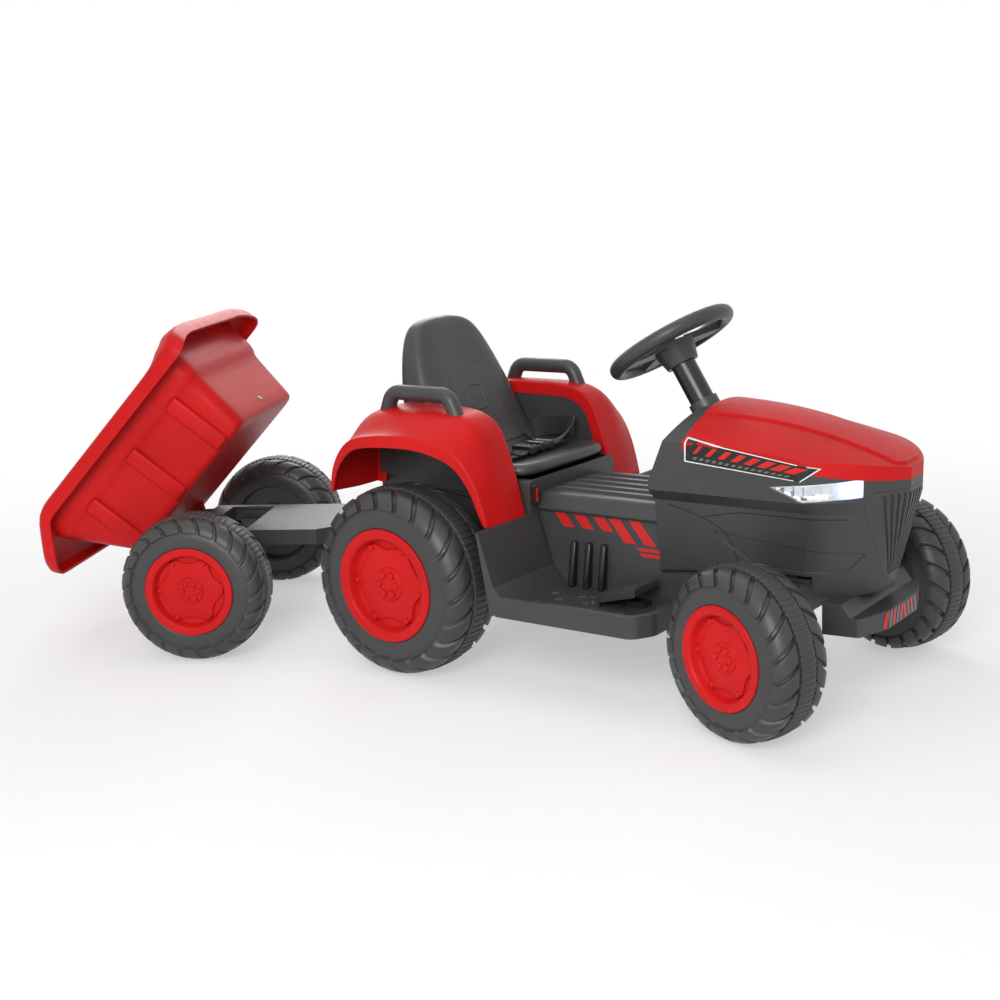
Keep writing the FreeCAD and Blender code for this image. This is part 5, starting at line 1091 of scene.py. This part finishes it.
# %% Latch tab
TAB_HALF, TAB_INSET, TAB_SINK, TAB_RISE = 2.2, 4.0, 1.0, 1.2
latch_low, latch_high = (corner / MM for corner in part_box("seat_latch"))
latch_y = (latch_low.y + latch_high.y) / 2
tab = slab("latch_tab", (latch_high.x - TAB_SINK, latch_y - TAB_HALF, latch_low.z + TAB_INSET),
           (latch_high.x + TAB_RISE, latch_y + TAB_HALF, latch_high.z - TAB_INSET), 0.6)
settle(tab, "seat_latch", "red_plastic", red)

# %% [markdown]
# ## Ledge, apron and wheel wells
# Dark walls close the body: a ledge behind the seat, an apron under the dash and an upright wall in each
# wheel well. They could be part of the tub, but its solid stays as it is, so each is a thin piece of its
# own. Ledge and apron are blocks with a sunk face. A well's wall is a flat outline that follows the
# fender's inner rim, filled, thickened and softened.

# %% Ledge and apron
LEDGE = ((-81.0, -42.0, 262.5), (-38.0, 171.5, 267.7))
APRON = ((389.0, -34.0, 247.0), (392.0, 163.5, 303.0))
settle(dented(slab("seat_ledge", *LEDGE, 1.2), UP, 5.0, 1.4), "tractor", "dark_plastic", dark)
settle(dented(slab("dash_apron", *APRON, 1.2), BACK, 6.0, 1.0), "tractor", "dark_plastic", dark)

# %% Wheel wells
WELL_INSET, WELL_OUT, WELL_FOOT = 8.0, 2.5, 222.0
well_rim = [a + (WELL_MIDDLE - a).normalized() * WELL_INSET for a in side_curve(SEAT_SIDE)[1:-1]]
for side, sign in SIDES:
    well_y = MIDDLE_Y + sign * (FENDER_NEAR + WELL_OUT)
    rim = [Vector((p.x + AXLE_X, well_y, max(p.z, WELL_FOOT))) * MM for p in well_rim]
    wall = outline(f"wheel_well_{side}", rim)
    modify(wall, "SOLIDIFY", thickness=2.4 * MM, offset=0.0)
    soften(wall, 0.6 * MM)
    settle(wall, "tractor", "dark_plastic", dark)

# %% [markdown]
# ## Lines on the nose
# Narrow grooves run along the nose's cheeks: an arrow-like line and the curved joint to the tub. At this
# size only their shadow shows, so it is painted shadow: narrow near-black inlays that follow the skin.

# %% Nose lines
NOSE_LINES = [[(612.0, 255.0), (590.0, 255.2), (559.0, 255.3), (517.0, 255.3), (476.0, 254.8), (447.0, 249.5),
               (421.0, 243.5)],
              [(372.0, 257.0), (388.0, 253.0), (404.0, 248.6), (426.5, 241.0), (441.0, 234.0), (451.0, 226.0),
               (459.0, 214.0), (464.0, 202.0), (468.0, 188.0)]]
LINE_HALF = 0.75


def line_quads(line):
    """Short quads along a smooth line of the side view."""
    path = curve([Vector((x, 0, z)) for x, z in line], 4)
    edges = []
    for k, spot in enumerate(path):
        along = (path[min(k + 1, len(path) - 1)] - path[max(k - 1, 0)]).normalized()
        aside = Vector((-along.z, 0, along.x)) * LINE_HALF
        edges.append((spot - aside, spot + aside))
    return [side_view([(p.x, p.z) for p in (a[0], b[0], b[1], a[1])]) for a, b in zip(edges, edges[1:])]


nose_quads = [quad for line in NOSE_LINES for quad in line_quads(line)]
# Painted shadow of the grooves: near-black strips laid on the skin, with no groove cut into it.
for side, way in INWARDS:
    piece = pressed(f"nose_lines_{side}", nose_quads, ["nose_shell"], (0, way, 0), 0.2 * MM, 1)
    settle(piece, "tractor", "black_plastic", film_dark)

# %% [markdown]
# ## Tipping bed
# The bed is a blown tray with rounded corners: walls that lean out, a shoulder under the rim, a rolled rim
# that dips at the tail and rises at the head, and three ribs a side. A nest of rounded outlines, each a
# little further round the section, gives the skin, and Solidify gives the wall. It is made level about its
# hinge and then turned to where the hinge joint says.

# %% Bed skin
BED_FLOOR = 12.3
SIDE_POINTS, END_POINTS, CORNER_POINTS = 16, 8, 5
TRAY_RINGS = [(150.0, 70.0, 40.0, 10.0, 0.0, 0), (233.0, -16.0, 129.0, 14.0, 0.0, 0),
              (241.0, -24.0, 137.0, 18.0, 1.5, 0), (245.5, -29.0, 141.0, 20.0, 6.0, 0),
              (246.5, -34.0, 142.0, 20.0, 14.0, 0), (254.0, -80.0, 150.5, 20.0, 91.0, 0),
              (256.0, -84.0, 152.5, 20.0, 97.0, 0), (262.5, -89.0, 159.5, 22.0, 104.0, 0),
              (264.0, -92.0, 161.5, 22.0, -9.0, 1), (266.0, -94.0, 164.0, 22.0, -3.0, 1),
              (270.0, -98.0, 169.0, 22.0, 0.0, 1), (286.0, -123.0, 181.0, 20.0, 0.0, 1),
              (290.0, -127.5, 185.0, 18.0, -3.0, 1), (291.0, -128.0, 186.0, 18.0, -20.0, 1)]
RIM_HEIGHT, TAIL_LINE, HEAD_RISE = 148.0, 210.0, 22.0
HEAD_FROM, HEAD_RAMP, RISE_HALF, RISE_RAMP = 222.0, 24.0, 186.0, 36.0
TAIL_FROM, TAIL_RAMP = -52.0, 20.0
BED_WALL = 4.0


def tray_outline(front, rear, half, corner):
    """A rounded oblong whose points match those of the next one."""
    spots = [(front, -half), (front, half), (rear, half), (rear, -half)]
    points = []
    for k in range(4):
        here, before, after = spots[k], spots[k - 1], spots[(k + 1) % 4]
        back, on = ([(b > a) - (b < a) for a, b in zip(here, other)] for other in (before, after))
        middle = [a + corner * (p + q) for a, p, q in zip(here, back, on)]
        for j in range(CORNER_POINTS):
            angle = math.pi / 2 * j / (CORNER_POINTS - 1)
            points.append([m - corner * (q * math.cos(angle) + p * math.sin(angle))
                           for m, p, q in zip(middle, back, on)])
        count = END_POINTS if k % 2 == 0 else SIDE_POINTS
        first = points[-1]
        last = [a - q * corner for a, q in zip(after, on)]
        points += [between(first, last, (j + 1) / (count + 1)) for j in range(count)]
    return points


def tray_ring(front, rear, half, corner, height, from_rim):
    """One outline of the bed with its heights, from the floor or from the rim."""
    ring = []
    for x, y in tray_outline(front, rear, half, corner):
        if not from_rim:
            ring.append((x, y, BED_FLOOR + height))
            continue
        head = clamp((x - HEAD_FROM) / HEAD_RAMP) * clamp((RISE_HALF - abs(y)) / RISE_RAMP)
        rim = min(RIM_HEIGHT, TAIL_LINE + x) + HEAD_RISE * head
        tail = clamp((TAIL_FROM - x) / TAIL_RAMP)
        ring.append((x - height * 0.6 * tail, y, BED_FLOOR + rim + height * (1 - 0.25 * tail)))
    return ring


rings = [tray_ring(*ring) for ring in TRAY_RINGS]
count = len(rings[0])
bed_skin = start("bed_skin", [Vector(p) * MM for ring in rings for p in ring],
                 faces=skin_faces(len(rings), count, closed=True) + [tuple(range(count))])
edit(mend)
floor_face = min(bed_skin.data.polygons, key=lambda face: face.center.xy.length + abs(face.center.z) * 9)
if floor_face.normal.z > 0:
    edit(bpy.ops.mesh.flip_normals)
modify(bed_skin, "SUBSURF", levels=1, render_levels=1)
modify(bed_skin, "SOLIDIFY", thickness=BED_WALL * MM, offset=-1.0)
smooth(bed_skin, 50)
print("bed skin faces:", len(bed_skin.data.polygons))

# %% [markdown]
# Ribs stiffen the bed's sides, two lugs hang round its hinge pin, and a small dark slot sits in its head.
# They could be pushed out of the skin, but simple forms joined to it leave its rounding alone. The bed is
# then turned from level to the pose at rest.

# %% Bed ribs, lugs and slot
RIB_PLACES, RIB_HALF, RIB_SINK, RIB_ROUND = (201.3, 97.6, -6.2), 13.0, -3, 4.2
# Height, wall and rise of a rib's two ends
RIB_ENDS = ((4, 140.5, 8.0), (102, 152.5, 11.0))
EAR, EAR_FOOT, EAR_WIDTH, EAR_FROM, EAR_STEPS = 10.0, 20.0, 12.0, 68.5, 12
SLOT = ((244.0, -7.0, BED_FLOOR + 20.0), (248.2, 7.0, BED_FLOOR + 28.0))
BLOCK_FACES = [(0, 1, 3, 2), (4, 6, 7, 5), (0, 4, 5, 1), (2, 3, 7, 6), (0, 2, 6, 4), (1, 5, 7, 3)]


def block(name, corners, round_by):
    """A solid between eight corners, with rounded edges."""
    piece = start(name, corners, faces=BLOCK_FACES)
    edit(mend)
    soften(piece, round_by * MM, 3)
    smooth(piece, 40)
    return piece


bed_parts = [bed_skin]
for x in RIB_PLACES:
    for side in (1, -1):
        corners = [Vector((x + along * RIB_HALF, side * (wall + out), BED_FLOOR + z)) * MM
                   for along in (-1, 1) for z, wall, rise in RIB_ENDS for out in (RIB_SINK, rise)]
        bed_parts.append(block("bed_rib", corners, RIB_ROUND))
ear_turns = [math.pi * k / EAR_STEPS for k in range(EAR_STEPS + 1)]
ear_line = [(-EAR_FOOT, BED_FLOOR + 2)] + [(-EAR * math.cos(a), -EAR * math.sin(a)) for a in ear_turns]
ear_line.append((EAR_FOOT, BED_FLOOR + 2))
for side in (1, -1):
    lug = outline("bed_lug", [Vector((x, side * (EAR_FROM + EAR_WIDTH / 2), z)) * MM for x, z in ear_line])
    modify(lug, "SOLIDIFY", thickness=EAR_WIDTH * MM, offset=0.0)
    soften(lug, 1.0 * MM)
    bed_parts.append(lug)
tip = joints["bed_tip"]
tipped = math.radians(tip["range_deg"][1])
across = Vector(tip["axis"]).normalized()
ahead = across.cross(UP)
along = ahead * math.cos(tipped) + UP * math.sin(tipped)
square = UP * math.cos(tipped) - ahead * math.sin(tipped)
BED = Matrix.Translation(Vector(tip["pos_m"])) @ Matrix((along, across, square)).transposed().to_4x4()
settle(moved(joined("bed_form", bed_parts), "bed_shell", BED), "bed", "red_plastic", red, "tipping_bed")
settle(moved(slab("slot_form", *SLOT, 0.9), "bed_slot", BED), "bed", "black_plastic", black)

# %% [markdown]
# ## Tunnel ribs
# Three glossy uprights stand on each side of the tunnel above the footboard. Each is a leaning block whose
# inner face meets the wall where a ray finds it, with all edges rounded.

# %% Tunnel ribs
UPRIGHT_START, UPRIGHT_PITCH, UPRIGHT_HALF = 209.5, 24.5, 4.5
# Height and rise of an upright's two ends
UPRIGHT_ENDS = ((122.5, 12.0), (185.0, 8.0))
UPRIGHT_SINK, BESIDE, LOWEST_RAY = -2.0, 190.0, 126.0
for side, way in INWARDS:
    uprights = []
    for k in range(3):
        x = AXLE_X + UPRIGHT_START + UPRIGHT_PITCH * k
        corners = []
        for along in (-UPRIGHT_HALF, UPRIGHT_HALF):
            for z, rise in UPRIGHT_ENDS:
                origin = Vector((x, MIDDLE_Y - way * BESIDE, max(z, LOWEST_RAY))) * MM
                found, wall, normal, index = nodes["body_tub"].ray_cast(origin, Vector((0, way, 0)))
                corners += [Vector(((x + along) * MM, wall.y - way * out * MM, z * MM))
                            for out in (UPRIGHT_SINK, rise)]
        uprights.append(block("upright", corners, 2.6))
    settle(joined(f"tunnel_ribs_{side}", uprights), "tractor", "black_plastic", black)

# %% [markdown]
# ## Studio
# A wide pale floor and three soft lamps, the strongest on the camera's side, keep the colours about as they
# are written. A curved backdrop could hide the horizon, but a floor that fades to white does the same
# with one face. The world is white to the camera and to reflections, and gentler as light on the object.

# %% Floor
FADE_START, FADE_END, WHITE_NEAR = 0.7, 1.9, 0.45
bpy.ops.object.select_all(action="DESELECT")
bpy.ops.mesh.primitive_plane_add(size=60, location=(0, 0, -0.0005))
floor = bpy.context.object
floor.name = "studio_floor"
bpy.ops.object.transform_apply(location=True, rotation=True, scale=True)
paper, tree, shader, where = finish_start("floor_paper")
fibre = where.noise(30.0, 4.0)
feed(tree, shader, Base_Color=fibre.ramp(0.2, 0.8).tint((0.90, 0.90, 0.90, 1), (0.93, 0.93, 0.93, 1)))
feed(tree, shader, Roughness=0.9, Specular_IOR_Level=0.1)
rays = where.add("LightPath")
seen = where.math("MINIMUM", rays.out("Is Camera Ray") + rays.out("Is Glossy Ray"), 1.0)
distance = where.add("VectorMath", {"operation": "LENGTH"}, {0: where}, out=1)
far = where.add("MapRange", {"interpolation_type": "SMOOTHSTEP"},
                {0: distance, 1: FADE_START, 2: FADE_END, 3: WHITE_NEAR, 4: 1.0})
white = where.add("Emission", None, {"Color": (1, 1, 1, 1), "Strength": 1.0})
blended = where.add("MixShader", None, {0: far * seen, 1: Shade(tree, shader.outputs[0]), 2: white})
tree.links.new(blended.socket, tree.nodes["Material Output"].inputs["Surface"])
floor.data.materials.append(paper)
print("floor:", floor.name)

# %% World and lamps
WORLD_LIGHT = 0.42
AIM = Vector((0.10, 0.05, 0.22))
world = bpy.data.worlds.new("studio")
bpy.context.scene.world = world
world.use_nodes = True
rays = Shade(world.node_tree).add("LightPath")
seen = rays.out("Is Camera Ray") + rays.out("Is Glossy Ray") + rays.out("Is Transmission Ray")
strength = seen.math("MINIMUM", seen, 1.0) * (1 - WORLD_LIGHT) + WORLD_LIGHT
background = world.node_tree.nodes["Background"]
background.inputs["Color"].default_value = (1, 1, 1, 1)
world.node_tree.links.new(strength.socket, background.inputs["Strength"])


def softbox(name, place, size, power):
    """A square soft lamp that looks at the object."""
    data = bpy.data.lights.new(name, "AREA")
    data.energy = power
    data.size = size
    lamp = bpy.data.objects.new(name, data)
    lamp.location = place
    lamp.rotation_euler = (AIM - Vector(place)).to_track_quat("-Z", "Y").to_euler()
    bpy.context.scene.collection.objects.link(lamp)
    print("lamp:", name, "watts:", power)


softbox("key", (1.4, -2.6, 1.6), 1.5, 74)
softbox("top", (-0.2, -0.2, 2.8), 2.2, 13)
softbox("back", (-1.6, 1.8, 1.6), 1.4, 22)

# %% [markdown]
# ## Camera
# Position, direction, roll and focal length come from matching the solids to the picture's frame.

# %% Camera
EYE = Vector((1.38125, -1.69450, 0.69744))
YAW, PITCH, ROLL = (math.radians(a) for a in (36.04, -12.85, -2.53))
FRAME_WIDTH, FOCAL, CENTRE = 1000.0, 1498.13, (530.33, 506.66)
look = Vector((-math.sin(YAW) * math.cos(PITCH), math.cos(YAW) * math.cos(PITCH), math.sin(PITCH)))
right = Vector((math.cos(YAW), math.sin(YAW), 0))
up = right.cross(look)
camera_right = right * math.cos(ROLL) + up * math.sin(ROLL)
camera_up = up * math.cos(ROLL) - right * math.sin(ROLL)
lens_data = bpy.data.cameras.new("view")
lens_data.sensor_width = 36.0
lens_data.lens = lens_data.sensor_width * FOCAL / FRAME_WIDTH
lens_data.shift_x = 0.5 - CENTRE[0] / FRAME_WIDTH
lens_data.shift_y = CENTRE[1] / FRAME_WIDTH - 0.5
lens_data.clip_end = 30
camera = bpy.data.objects.new("view", lens_data)
turn = Matrix((camera_right, camera_up, -look)).transposed()
camera.matrix_world = Matrix.Translation(EYE) @ turn.to_4x4()
bpy.context.scene.collection.objects.link(camera)
bpy.context.scene.camera = camera
bpy.context.scene.view_settings.view_transform = "Standard"
print("focal length:", round(lens_data.lens, 2))
